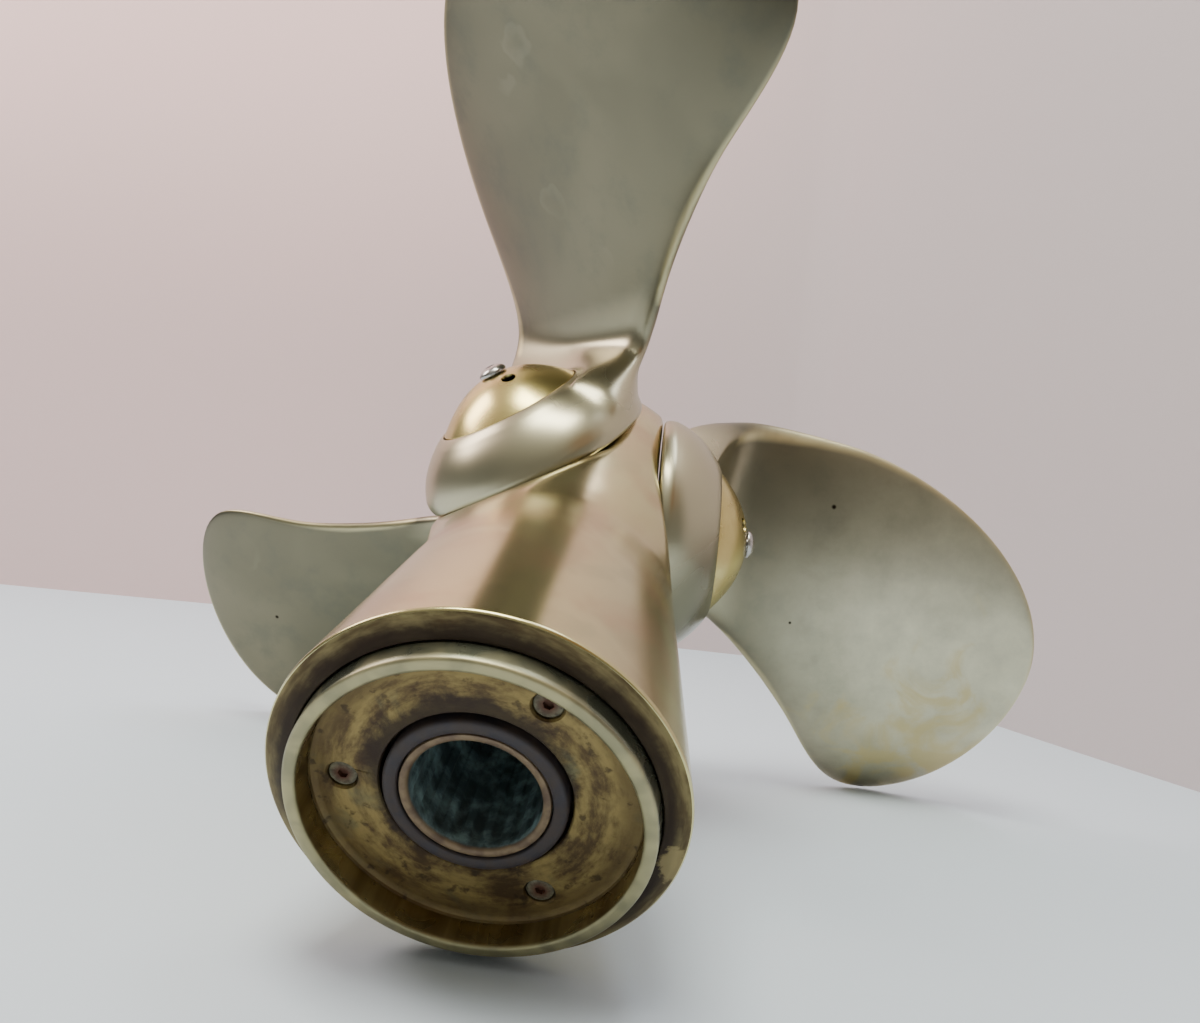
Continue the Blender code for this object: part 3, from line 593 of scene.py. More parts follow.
def copper_liner():
    """Brass liner: brown lip, and a bore dark with teal verdigris in long streaks."""
    material, tree, shader = start_material("copper_liner", 0.35, 0.5)
    spot = hub_coordinates(tree)
    # Drips ran straight down the wall of the bore.
    down = node(tree, "ShaderNodeTexCoord", output="Object")
    streak = node(tree, "ShaderNodeMapping", {"Vector": down, "Scale": (1.0, 1.0, 0.30)})
    lines = node(tree, "ShaderNodeTexNoise", {
        "Vector": streak, "Scale": 1 / 0.0055, "Detail": 6.0, "Roughness": 0.68})
    tone = node(tree, "ShaderNodeMapRange", {0: lines, 1: 0.40, 2: 0.76},
                interpolation_type="SMOOTHSTEP")
    bore = node(tree, "ShaderNodeMix", {
        0: tone, 6: linear("#526061"), 7: linear("#a3c0c0")}, 2, data_type="RGBA")
    worn = node(tree, "ShaderNodeTexNoise", {"Vector": spot, "Scale": 1 / 0.005, "Detail": 4.0})
    worn = node(tree, "ShaderNodeMapRange", {0: worn, 1: 0.35, 2: 0.65},
                interpolation_type="SMOOTHSTEP")
    brown = node(tree, "ShaderNodeMix", {
        0: worn, 6: linear("#5c4a3a"), 7: linear("#7d6a50")}, 2, data_type="RGBA")
    height = node(tree, "ShaderNodeSeparateXYZ", {0: spot}, "Z")
    front = node(tree, "ShaderNodeMapRange", {0: height, 1: -0.0014, 2: -0.0004},
                 interpolation_type="SMOOTHSTEP")
    colour = node(tree, "ShaderNodeMix", {0: front, 6: bore, 7: brown}, 2, data_type="RGBA")
    tree.links.new(colour, shader.inputs["Base Color"])
    rough = node(tree, "ShaderNodeMapRange", {0: lines, 1: 0.3, 2: 0.7, 3: 0.38, 4: 0.6})
    tree.links.new(rough, shader.inputs["Roughness"])
    bump = node(tree, "ShaderNodeBump", {
        "Height": lines, "Strength": 0.5, "Distance": 0.0001})
    tree.links.new(bump, shader.inputs["Normal"])
    return material


def rusty_screw():
    """Steel countersunk screw: dull grey-green head, rust-brown round the socket."""
    material, tree, shader = start_material("rusty_screw", 0.2, 0.7)
    spot = hub_coordinates(tree)
    rust = node(tree, "ShaderNodeTexNoise", {
        "Vector": spot, "Scale": 1 / 0.0020, "Detail": 5.0, "Roughness": 0.65})
    tone = node(tree, "ShaderNodeMapRange", {0: rust, 1: 0.35, 2: 0.65},
                interpolation_type="SMOOTHSTEP")
    grey = node(tree, "ShaderNodeMix", {
        0: tone, 6: linear("#4b4637"), 7: linear("#76725c")}, 2, data_type="RGBA")
    socket = node(tree, "ShaderNodeAttribute", attribute_name="socket", output="Fac")
    colour = node(tree, "ShaderNodeMix", {0: socket, 6: grey, 7: linear("#4f2a18")}, 2,
                  data_type="RGBA")
    tree.links.new(colour, shader.inputs["Base Color"])
    bump = node(tree, "ShaderNodeBump", {"Height": rust, "Strength": 0.8, "Distance": 0.0002})
    tree.links.new(bump, shader.inputs["Normal"])
    return material


def stainless_steel():
    """Polished stainless button screw, scuffed by a key."""
    material, tree, shader = start_material("stainless_steel", 1.0, 0.2)
    spot = node(tree, "ShaderNodeTexCoord", output="Object")
    haze = node(tree, "ShaderNodeTexNoise", {"Vector": spot, "Scale": 1 / 0.003, "Detail": 3.0})
    colour = node(tree, "ShaderNodeMix", {
        0: haze, 6: linear("#c4c2bd"), 7: linear("#a9a8a6")}, 2, data_type="RGBA")
    tree.links.new(colour, shader.inputs["Base Color"])
    rough = node(tree, "ShaderNodeMapRange", {0: haze, 1: 0.3, 2: 0.7, 3: 0.20, 4: 0.32})
    tree.links.new(rough, shader.inputs["Roughness"])
    return material


def pin_steel():
    """Ground steel of the pivot pins inside the bosses."""
    material, tree, shader = start_material("bright_steel", 1.0, 0.3)
    spot = node(tree, "ShaderNodeTexCoord", output="Object")
    haze = node(tree, "ShaderNodeTexNoise", {"Vector": spot, "Scale": 1 / 0.004, "Detail": 3.0})
    colour = node(tree, "ShaderNodeMix", {
        0: haze, 6: linear("#b8b8b8"), 7: linear("#9a9a9a")}, 2, data_type="RGBA")
    tree.links.new(colour, shader.inputs["Base Color"])
    return material


def deselect():
    if bpy.context.object and bpy.context.object.mode != "OBJECT":
        bpy.ops.object.mode_set(mode="OBJECT")
    bpy.ops.object.select_all(action="DESELECT")


def turned(name, profile, steps, axis="Z"):
    """Extrude one point along a (height, radius) profile, then spin it about the axis."""
    def point(height, radius):
        return Vector((radius, 0, height)) if axis == "Z" else Vector((radius, height, 0))

    deselect()
    bpy.ops.mesh.primitive_plane_add(size=0.002, location=point(*profile[0]))
    piece = bpy.context.object
    piece.name = piece.data.name = name
    bpy.ops.object.mode_set(mode="EDIT")
    bpy.ops.mesh.merge(type="CENTER")
    for here, there in zip(profile, profile[1:]):
        step = point(*there) - point(*here)
        bpy.ops.mesh.extrude_vertices_move(TRANSFORM_OT_translate={"value": step})
    bpy.ops.mesh.select_all(action="SELECT")
    bpy.ops.mesh.spin(steps=steps, angle=2 * math.pi, center=(0, 0, 0),
                      axis=(0, 0, 1) if axis == "Z" else (0, 1, 0))
    bpy.ops.mesh.select_all(action="SELECT")
    bpy.ops.mesh.remove_doubles(threshold=0.000005)
    bpy.ops.mesh.normals_make_consistent(inside=False)
    bpy.ops.object.mode_set(mode="OBJECT")
    bpy.ops.object.transform_apply()
    return piece


def cut_with(piece, cutter):
    """Take a cutter's shape out of a piece and remove the cutter."""
    deselect()
    bpy.context.view_layer.objects.active = piece
    piece.select_set(True)
    modifier = piece.modifiers.new("cut", "BOOLEAN")
    modifier.operation = "DIFFERENCE"
    modifier.solver = "EXACT"
    modifier.object = cutter
    bpy.ops.object.modifier_apply(modifier="cut")
    bpy.data.objects.remove(cutter)


def finish(piece, place, material, body, nodes, angle=35.0):
    """Set a piece in place in its mesh, smooth it, and hand it to its body."""
    piece.matrix_world = place
    deselect()
    bpy.context.view_layer.objects.active = piece
    piece.select_set(True)
    bpy.ops.object.transform_apply()
    bpy.ops.object.shade_smooth_by_angle(angle=math.radians(angle))
    if not piece.data.materials:
        piece.data.materials.append(material)
    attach(piece, body)
    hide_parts(*nodes)
    return piece


def copy_piece(piece, name):
    other = piece.copy()
    other.data = piece.data.copy()
    other.name = other.data.name = name
    bpy.context.scene.collection.objects.link(other)
    return other


def smooth_line(points, per_span):
    """Catmull-Rom points through a list of pairs."""
    line = np.array([points[0]] + list(points) + [points[-1]], float)
    result = []
    for a, b, c, d in zip(line, line[1:], line[2:], line[3:]):
        span = np.hypot(*(c - b))
        count = max(1, int(round(span / per_span)))
        for t in np.arange(count) / count:
            result.append(0.5 * (2 * b + (c - a) * t + (2 * a - 5 * b + 4 * c - d) * t ** 2
                                 + (3 * b - a - 3 * c + d) * t ** 3))
    result.append(line[-2])
    return [tuple(float(v) for v in p) for p in result]


def soft_min(a, b, width):
    overlap = np.maximum(width - np.abs(a - b), 0) / width
    return np.minimum(a, b) - overlap ** 2 * width / 4


def press_flats(points):
    """Press the turned hub in to its three milled flats and sloping facets."""
    size = sizes()
    radius = np.hypot(points[:, 0], points[:, 1])
    outer = (radius > 0.0290) & (points[:, 2] < -0.002)
    unit = points[:, :2] / np.maximum(radius, 1e-9)[:, None]
    rim_height = size.rim_radius + PIVOT_DEPTH * math.tan(PIVOT_LEAN)
    slope = (rim_height - size.flat_height) / (PIVOT_DEPTH - size.flat_front)
    depth = points[:, 2] + PIVOT_DEPTH
    new = radius.copy()
    for index in range(3):
        place = pivot_matrix(index)
        up, front = place.col[1], place.col[2]
        rise = unit[:, 0] * up[0] + unit[:, 1] * up[1]
        ahead = unit[:, 0] * front[0] + unit[:, 1] * front[1]
        facing = rise > 0.15
        rise = np.where(facing, rise, 1.0)
        flat = (size.flat_height - depth * up[2]) / rise
        tilt = rise - slope * np.where(facing, ahead, 0.0)
        facet = (size.flat_height - slope * size.flat_front
                 - depth * (up[2] - slope * front[2])) / np.maximum(tilt, 0.1)
        limit = -soft_min(-flat, -facet, 0.003)
        pressed = soft_min(new, limit, size.facet_blend)
        new = np.where(outer & facing, np.minimum(new, pressed), new)
    scale = new / np.maximum(radius, 1e-9)
    points[:, 0] *= scale
    points[:, 1] *= scale
    return points


def mesh_points(mesh):
    points = np.zeros(len(mesh.vertices) * 3)
    mesh.vertices.foreach_get("co", points)
    return points.reshape(-1, 3)


def set_attribute(mesh, name, values):
    layer = mesh.attributes.new(name, "FLOAT", "POINT")
    layer.data.foreach_set("value", np.asarray(values, float).ravel())


class PROPELLER_OT_hub(bpy.types.Operator):
    """Turn the hub, press its flats, sink the round seats, and stain its shoulder."""

    bl_idname = "propeller.hub"
    bl_label = "Hub"

    def execute(self, context):
        hub = self.turned_hub()
        for index in range(3):
            floor, wall = sizes().seat_height, sizes().seat_radius
            seat = turned("seat", [(floor, 0), (floor, wall), (0.09, wall), (0.09, 0)], 144,
                          axis="Y")
            seat.matrix_world = pivot_matrix(index)
            context.view_layer.update()
            cut_with(hub, seat)
        self.colour_faces(hub.data)
        finish(hub, HUB, None, "hub", ["hub_body"], angle=40)
        steel = pin_steel()
        for index in range(3):
            pin = frame["nodes"][f"pivot_pin_{index + 1}"]
            pin.data.materials.clear()
            pin.data.materials.append(steel)
        return {"FINISHED"}

    def turned_hub(self):
        rim, bore, shaft, back = sizes().rim_radius, HUB_BORE, SHAFT_BORE, HUB_LINE[-1][0]
        ledge = sizes().spigot_radius + RUNNING_GAP
        profile = [(-0.100, bore), (-0.050, bore), (-0.0093, bore), (-0.0093, ledge),
                   (0.0016, ledge), (0.0018, ledge + 0.0003), (0.0016, ledge + 0.0014),
                   (0.0009, rim - 0.0036), (0.0003, rim - 0.0012), (0.0001, rim - 0.0006),
                   (-0.0003, rim - 0.0002)]
        profile += smooth_line([(-0.0010, rim - 0.0001)] + HUB_LINE, 0.0014)
        profile += [(back, 0.0320), (back, 0.0200), (back, 0.0112), (-0.1879, shaft),
                    (-0.150, shaft), (-0.100, shaft), (-0.100, 0.0160), (-0.100, bore)]
        hub = turned("hub_casting", profile, 240)
        points = press_flats(mesh_points(hub.data))
        hub.data.vertices.foreach_set("co", points.ravel())
        bpy.ops.object.mode_set(mode="EDIT")
        bpy.ops.mesh.select_all(action="SELECT")
        bpy.ops.mesh.remove_doubles(threshold=0.00005)
        bpy.ops.mesh.normals_make_consistent(inside=False)
        bpy.ops.object.mode_set(mode="OBJECT")
        return hub

    def colour_faces(self, mesh):
        """Keep how near each point is to the rim's edge, and stain what faces the drive."""
        rim = sizes().rim_radius
        points = mesh_points(mesh)
        radius = np.hypot(points[:, 0], points[:, 1])
        near = np.abs(points[:, 2] + 0.0002) + np.abs(radius - rim + 0.0003)
        set_attribute(mesh, "edge", np.clip(1.4 - near / 0.0012, 0, 1))
        mesh.materials.append(polished_bronze())
        mesh.materials.append(brown_shoulder())
        for face in mesh.polygons:
            reach = math.hypot(face.center.x, face.center.y)
            shoulder = face.center.z > -0.0004 and reach < rim - 0.0008
            bored = reach < 0.0245 and face.center.z > -0.17
            face.material_index = int(shoulder or bored or
                                      face.center.z > -0.0100 and reach < 0.0462)


class PROPELLER_OT_large_end(bpy.types.Operator):
    """Turn the collar, the mottled disc and its three screws."""

    bl_idname = "propeller.large_end"
    bl_label = "Large end"

    def execute(self, context):
        self.collar()
        inner, bore, face, back = sizes().spigot_inner, DISC_BORE, DISC_FACE, DISC_BACK
        disc = turned("end_plate", [
            (back, bore), (back, inner - 0.0001), (face + 0.0014, inner - 0.0001),
            (face + 0.0007, inner - 0.0004), (face + 0.0002, inner - 0.0012),
            (face, inner - 0.0022), (face, 0.0330), (face, bore + 0.0004),
            (face - 0.0004, bore), (back, bore)], 144)
        screw = self.screw(face, back)
        rust = rusty_screw()
        for index in range(3):
            angle = math.radians(150 + 120 * index)
            centre = Vector((SCREW_CIRCLE * math.cos(angle), SCREW_CIRCLE * math.sin(angle), 0))
            sink = turned("sink", [
                (back - 0.002, 0), (back - 0.002, 0.0022), (face - 0.0033, 0.0022),
                (face - 0.0033, 0.0038), (face - 0.0006, 0.0039), (face, 0.0043),
                (face + 0.002, 0.0055), (face + 0.002, 0)], 40)
            sink.location = centre
            context.view_layer.update()
            cut_with(disc, sink)
            place = HUB @ Matrix.Translation(centre) @ Matrix.Rotation(0.9 * index, 4, "Z")
            finish(copy_piece(screw, f"rusty_screw_{index + 1}"), place, rust, "hub",
                   [f"disc_screw_{index + 1}"])
        bpy.data.objects.remove(screw)
        finish(disc, HUB, mottled_bronze(), "hub", ["end_disc"], angle=30)
        return {"FINISHED"}

    def collar(self):
        size = sizes()
        outer, inner, rise = size.spigot_radius, size.spigot_inner, size.spigot_rise
        collar = turned("collar", [
            (-0.0090, inner), (-0.0090, outer), (0.0018, outer), (rise - 0.0024, outer - 0.0002),
            (rise - 0.0009, outer - 0.0003), (rise - 0.0003, outer - 0.0006),
            (rise, outer - 0.0012), (rise, inner + 0.0009), (rise - 0.0002, inner + 0.0003),
            (rise - 0.0007, inner), (-0.0040, inner), (-0.0090, inner)], 180)
        finish(collar, HUB, worn_bronze(), "hub", ["spigot"], angle=50)

    def screw(self, face, back):
        screw = turned("rusty_screw", [
            (back, 0), (back, 0.0019), (face - 0.0032, 0.0019), (face - 0.0030, 0.0034),
            (face - 0.0016, 0.0037), (face - 0.0010, 0.0036), (face - 0.0008, 0.0032),
            (face - 0.0008, 0)], 32)
        deselect()
        bpy.ops.mesh.primitive_cylinder_add(vertices=6, radius=0.0014, depth=0.003,
                                            location=(0, 0, face - 0.0005))
        cut_with(screw, bpy.context.object)
        points = mesh_points(screw.data)
        reach = np.hypot(points[:, 0], points[:, 1])
        set_attribute(screw.data, "socket", np.clip(2.0 - reach / 0.0013, 0, 1))
        return screw


class PROPELLER_OT_bush(bpy.types.Operator):
    """Turn the dark bush and the splined liner in the bore."""

    bl_idname = "propeller.bush"
    bl_label = "Bush and liner"

    def execute(self, context):
        size = sizes()
        outer, inner, deep = size.sleeve_radius, size.liner_radius + RUNNING_GAP, BUSH_DEPTH
        bush = turned("bush", [
            (deep, inner), (deep, outer), (-0.0006, outer), (0.0000, outer - 0.0002),
            (0.0004, outer - 0.0007), (0.0005, outer - 0.0013), (0.0005, inner + 0.0005),
            (0.0002, inner + 0.0001), (-0.0004, inner), (deep, inner)], 144)
        finish(bush, HUB, dark_bush(), "hub", ["sleeve"], angle=50)
        bore, wall = size.liner_bore, size.liner_radius
        liner = turned("splined_liner", [
            (deep, bore), (deep, wall), (-0.0006, wall), (0.0000, wall - 0.0003),
            (0.0001, wall - 0.0007), (0.0001, bore + 0.0009), (-0.0003, bore + 0.0003),
            (-0.0009, bore), (-0.0035, bore), (-0.0045, bore), (-0.0300, bore),
            (-0.0600, bore), (deep, bore)], 240)
        self.cut_splines(liner.data, bore)
        finish(liner, HUB, copper_liner(), "hub", ["bore_liner"], angle=40)
        return {"FINISHED"}

    def cut_splines(self, mesh, bore):
        """Push the bore's wall out into grooves, from just behind the plain mouth."""
        points = mesh_points(mesh)
        radius = np.hypot(points[:, 0], points[:, 1])
        turn = (np.arctan2(points[:, 1], points[:, 0]) / (2 * math.pi) * SPLINES) % 1.0
        groove = (radius < bore + 0.0004) & (turn < 0.46) & (points[:, 2] < -0.004)
        scale = np.where(groove, (bore + SPLINE_DEPTH) / radius, 1.0)
        points[:, :2] *= scale[:, None]
        mesh.vertices.foreach_set("co", points.ravel())


def curve_points(control, count):
    """Points of a clamped uniform cubic B-spline."""
    control = np.array(control)
    n = len(control)
    knots = np.concatenate([[0] * 3, np.linspace(0, 1, n - 2), [1] * 3])
    points = []
    for t in np.linspace(0, 1, count):
        k = min(np.searchsorted(knots, t, side="right") - 1, n - 1)
        d = [control[j].copy() for j in range(k - 3, k + 1)]
        for r in range(1, 4):
            for j in range(3, r - 1, -1):
                low, high = knots[j + k - 3], knots[j + 1 + k - r]
                a = (t - low) / (high - low)
                d[j] = (1 - a) * d[j - 1] + a * d[j]
        points.append(d[3])
    return np.array(points)


def blade_depth(x, y):
    """Position of the blade's middle surface along the hub's axis."""
    x, y = x / 0.053, y / 0.053 - 1.8
    return (-1.39 + 1.129 * x - 0.013 * y - 0.032 * x * y - 0.209 * x * x
            + 0.054 * y * y) * 0.053


def resample(points, fractions):
    steps = np.hypot(*np.diff(points, axis=0).T)
    length = np.concatenate([[0], np.cumsum(steps)])
    length /= length[-1]
    return np.stack([np.interp(fractions, length, points[:, i]) for i in (0, 1)], axis=1)


def plate_loops(count, plates):
    """Closed loops round the blade, from just above the boss to the tip."""
    points = curve_points(BLADE_OUTLINE, 401)
    tip = int(np.argmax(points[:, 1]))
    left, right = points[:tip + 1], points[tip:][::-1]
    left, right = left[left[:, 1] > 0.0740], right[right[:, 1] > 0.0490]
    even = np.linspace(0, 1, plates + 1)
    fractions = 0.6 * even + 0.4 * np.sin(even * math.pi / 2)
    edges = zip(resample(left, fractions), resample(right, fractions))
    return [chord_ring(a, b, count) for a, b in list(edges)[:-1]]


def chord_ring(a, b, count):
    """One blade section, from the trailing edge b over the inner face to the edge a."""
    t = min(max(((a[1] + b[1]) / 2 - 0.05) / 0.15, 0.0), 1.0)
    half = min(0.0062 * (1 - t) ** 1.6 + 0.0017, np.hypot(*(b - a)) * 0.2)
    loop = []
    for i in range(count):
        phi = 2 * math.pi * i / count
        p = a + (b - a) * (1 + math.cos(phi)) / 2
        z, e = blade_depth(*p), 0.0005
        normal = np.array([-(blade_depth(p[0] + e, p[1]) - z) / e,
                           -(blade_depth(p[0], p[1] + e) - z) / e, 1.0])
        normal /= np.linalg.norm(normal)
        side = math.sin(phi)
        loop.append(np.array([p[0], p[1], z])
                    + half * math.copysign(abs(side) ** 0.75, side) * normal)
    return np.array(loop)


def bridge_loops(patch, root, after):
    """Smooth loops that leave the boss's wall and run into the blade."""
    axis = np.array([0.0, 1.0, 0.0])
    centre = patch.mean(axis=0)
    trailing = [(1 + math.cos(2 * math.pi * i / len(patch))) / 2 for i in range(len(patch))]
    loops = []
    for t in (0.13, 0.27, 0.41, 0.55, 0.69, 0.84):
        h00, h01 = 2 * t ** 3 - 3 * t ** 2 + 1, 3 * t ** 2 - 2 * t ** 3
        h10, h11 = t ** 3 - 2 * t ** 2 + t, t ** 3 - t ** 2
        loop = []
        for p, q, r, w in zip(patch, root, after, trailing):
            out = p - axis * (p @ axis)
            out = out / np.linalg.norm(out) + (0.45 + 0.8 * w) * axis
            out /= np.linalg.norm(out)
            inward = centre - p
            inward = inward - out * (inward @ out)
            inward /= max(np.linalg.norm(inward), 1e-9)
            span = np.linalg.norm(q - p)
            leave = (0.12 * inward + 0.5 * out) * span
            arrive = (r - q) / np.linalg.norm(r - q) * span * (0.8 - 0.3 * w)
            loop.append(h00 * p + h10 * leave + h01 * q + h11 * arrive)
        loops.append(np.array(loop))
    return loops


def patch_loop():
    """Corners round the patch of the boss's wall that the blade grows out of."""
    centre = (ROOT_LOW + ROOT_HIGH) // 2
    loop = [(k, ROOT_STEPS) for k in range(centre, ROOT_HIGH)]
    loop += [(ROOT_HIGH, i) for i in range(ROOT_STEPS, 0, -1)]
    loop += [(k, 0) for k in range(ROOT_HIGH, ROOT_LOW, -1)]
    loop += [(ROOT_LOW, i) for i in range(0, ROOT_STEPS)]
    loop += [(k, ROOT_STEPS) for k in range(ROOT_LOW, centre)]
    return [k * BOSS_STEPS + i for k, i in loop]


def blade_cage():
    """Boss turned about the pivot, with the blade drawn out of a patch of its wall."""
    seat, foot = BOSS_TOP - 0.0038, BOSS_WALL[0][0]
    profile = BOSS_WALL + [
        (BOSS_TOP, 0.0272), (BOSS_TOP - 0.0005, 0.0270), (seat, 0.0270), (seat, 0.0203),
        (0.0442, 0.0203), (0.0442, 0.0141), (foot, 0.0141)]
    start = ROOT_ANGLE - math.pi * ROOT_STEPS / BOSS_STEPS
    turn = 2 * math.pi / BOSS_STEPS
    points = [(r * math.cos(start + turn * i), y, r * math.sin(start + turn * i))
              for y, r in profile for i in range(BOSS_STEPS)]
    faces = []
    for k in range(len(profile)):
        for i in range(BOSS_STEPS):
            if ROOT_LOW <= k < ROOT_HIGH and i < ROOT_STEPS:
                continue
            j, n = (i + 1) % BOSS_STEPS, (k + 1) % len(profile)
            faces.append((k * BOSS_STEPS + i, k * BOSS_STEPS + j,
                          n * BOSS_STEPS + j, n * BOSS_STEPS + i))
    patch = patch_loop()
    loops = plate_loops(len(patch), PLATE_STEPS)
    bridge = bridge_loops(np.array([points[i] for i in patch]), loops[0], loops[1])
    rows = bridge + loops
    for _ in range(3):
        for k in range(3, 10):
            rows[k] = 0.5 * rows[k] + 0.25 * (rows[k - 1] + rows[k + 1])
    before = patch
    for loop in rows:
        here = list(range(len(points), len(points) + len(loop)))
        points += [tuple(p) for p in loop]
        faces += [(before[i], before[(i + 1) % len(loop)], here[(i + 1) % len(loop)], here[i])
                  for i in range(len(loop))]
        before = here
    last = (loops[-1][0] + loops[-1][len(patch) // 2]) / 2
    points.append((last[0], last[1] + 0.0008, last[2]))
    tip = len(points) - 1
    faces += [(before[i], before[(i + 1) % len(before)], tip) for i in range(len(before))]
    return points, faces


class PROPELLER_OT_blades(bpy.types.Operator):
    """Model one blade with its boss, smooth it, and copy it to the three pivots."""

    bl_idname = "propeller.blades"
    bl_label = "Blades"

    def execute(self, context):
        points, faces = blade_cage()
        mesh = bpy.data.meshes.new("blade")
        mesh.from_pydata(points, [], faces)
        blade = bpy.data.objects.new("blade", mesh)
        context.scene.collection.objects.link(blade)
        deselect()
        context.view_layer.objects.active = blade
        blade.select_set(True)
        bpy.ops.object.mode_set(mode="EDIT")
        bpy.ops.mesh.select_all(action="SELECT")
        bpy.ops.mesh.normals_make_consistent(inside=False)
        bpy.ops.object.mode_set(mode="OBJECT")
        smooth = blade.modifiers.new("smooth", "SUBSURF")
        smooth.levels = smooth.render_levels = 2
        bpy.ops.object.modifier_apply(modifier="smooth")
        self.relax_root(blade)
        self.mark_wear(blade.data)
        bronze = satin_bronze()
        for index in range(3):
            piece = copy_piece(blade, f"bronze_blade_{index + 1}")
            finish(piece, blade_matrix(index), bronze, f"blade_unit_{index + 1}",
                   [f"blade_{index + 1}"], angle=50)
        bpy.data.objects.remove(blade)
        return {"FINISHED"}

    def relax_root(self, blade):
        """Smooth the skin where the blade runs into its boss."""
        bpy.ops.object.mode_set(mode="EDIT")
        bm = bmesh.from_edit_mesh(blade.data)
        for vert in bm.verts:
            x, y, z = vert.co
            far = math.hypot(x, z)
            vert.select = 0.036 < y < 0.080 and (far > 0.0315 or y > 0.056) and far < 0.060
        bm.select_flush_mode()
        bmesh.update_edit_mesh(blade.data)
        bpy.ops.mesh.vertices_smooth(factor=0.5, repeat=12)
        bpy.ops.object.mode_set(mode="OBJECT")

    def mark_wear(self, mesh):
        """Keep how near each point is to the blade's edge, and how near to the boss."""
        points = mesh_points(mesh)
        outline = curve_points(BLADE_OUTLINE, 401)
        outline = outline[outline[:, 1] > 0.062]
        near = np.full(len(points), 1.0)
        for x, y in outline:
            near = np.minimum(near, np.hypot(points[:, 0] - x, points[:, 1] - y))
        near = np.where(points[:, 1] < 0.060, 1.0, near)
        set_attribute(mesh, "edge", np.clip(1.0 - near / 0.0035, 0, 1))
        away = np.maximum(points[:, 1] - 0.053, np.hypot(points[:, 0], points[:, 2]) - 0.045)
        set_attribute(mesh, "buffed", np.clip(1.0 - away / 0.018, 0, 1))


class PROPELLER_OT_caps(bpy.types.Operator):
    """Turn one domed cap, drill its spanner holes, and copy it with its button screw."""

    bl_idname = "propeller.caps"
    bl_label = "Caps and screws"

    def execute(self, context):
        radius, apex = sizes().cap_radius, sizes().cap_apex
        cap = self.domed_cap(radius, apex)
        for k in range(3):
            angle = math.radians(120 * k + 40)
            deselect()
            bpy.ops.mesh.primitive_cylinder_add(
                vertices=32, radius=sizes().spanner_hole, depth=0.02,
                rotation=(math.pi / 2, 0, 0),
                location=(SPANNER_CIRCLE * math.sin(angle), apex + 0.0025,
                          SPANNER_CIRCLE * math.cos(angle)))
            cut_with(cap, context.object)
        self.mark_holes(cap.data, radius, apex)
        screw = self.button_screw(apex)
        gold, steel = golden_bronze(), stainless_steel()
        for index in range(3):
            n, body = index + 1, f"blade_unit_{index + 1}"
            finish(copy_piece(cap, f"domed_cap_{n}"), blade_matrix(index), gold, body,
                   [f"cap_{n}"], angle=30)
            finish(copy_piece(screw, f"button_screw_{n}"), blade_matrix(index), steel, body,
                   [f"cap_screw_{n}"], angle=35)
        bpy.data.objects.remove(cap)
        bpy.data.objects.remove(screw)
        return {"FINISHED"}

    def domed_cap(self, radius, apex):
        top = BOSS_TOP
        radius -= RUNNING_GAP
        dome = [(top - 0.0035, 0), (top - 0.0035, radius), (top - 0.0004, radius),
                (top, radius - 0.0001)]
        for k in range(1, 33):
            r = radius * math.cos(math.pi / 2 * k / 33) ** 0.9
            dome.append((top + (apex - top) * (1 - (r / radius) ** DOME_POWER), r))
        dome.append((apex, 0))
        return turned("pivot_cap", dome, 120, axis="Y")

    def mark_holes(self, mesh, radius, apex):
        """Keep how far each point lies under the dome, for the painted shade in the holes."""
        points = mesh_points(mesh)
        reach = np.hypot(points[:, 0], points[:, 2]) / (radius - RUNNING_GAP)
        dome = BOSS_TOP + (apex - BOSS_TOP) * (1 - np.minimum(reach, 1) ** DOME_POWER)
        set_attribute(mesh, "deep", np.clip((dome - points[:, 1]) / 0.004 - 0.1, 0, 1)
                      * (reach < 0.8))

    def button_screw(self, apex):
        top = apex + 0.0002
        screw = turned("button_screw", [
            (top - 0.0020, 0), (top - 0.0020, 0.0025), (top, 0.0025), (top, 0.0051),
            (top + 0.0004, 0.0052), (top + 0.0010, 0.0050), (top + 0.0017, 0.0043),
            (top + 0.0023, 0.0033), (top + 0.0027, 0.0019), (top + 0.0028, 0)], 48, axis="Y")
        deselect()
        bpy.ops.mesh.primitive_cylinder_add(vertices=6, radius=0.0019, depth=0.004,
                                            rotation=(math.pi / 2, 0, 0),
                                            location=(0, top + 0.0027 + 0.0006, 0))
        cut_with(screw, bpy.context.object)
        return screw


def add_light(name, place, target, size, power, tint):
    light = bpy.data.lights.new(name, "AREA")
    light.shape = "RECTANGLE"
    light.size, light.size_y = size
    light.energy = power
    light.color = linear(tint)[:3]
    lamp = bpy.data.objects.new(name, light)
    bpy.context.scene.collection.objects.link(lamp)
    lamp.location = place
    lamp.rotation_euler = (Vector(target) - Vector(place)).to_track_quat("-Z", "Y").to_euler()


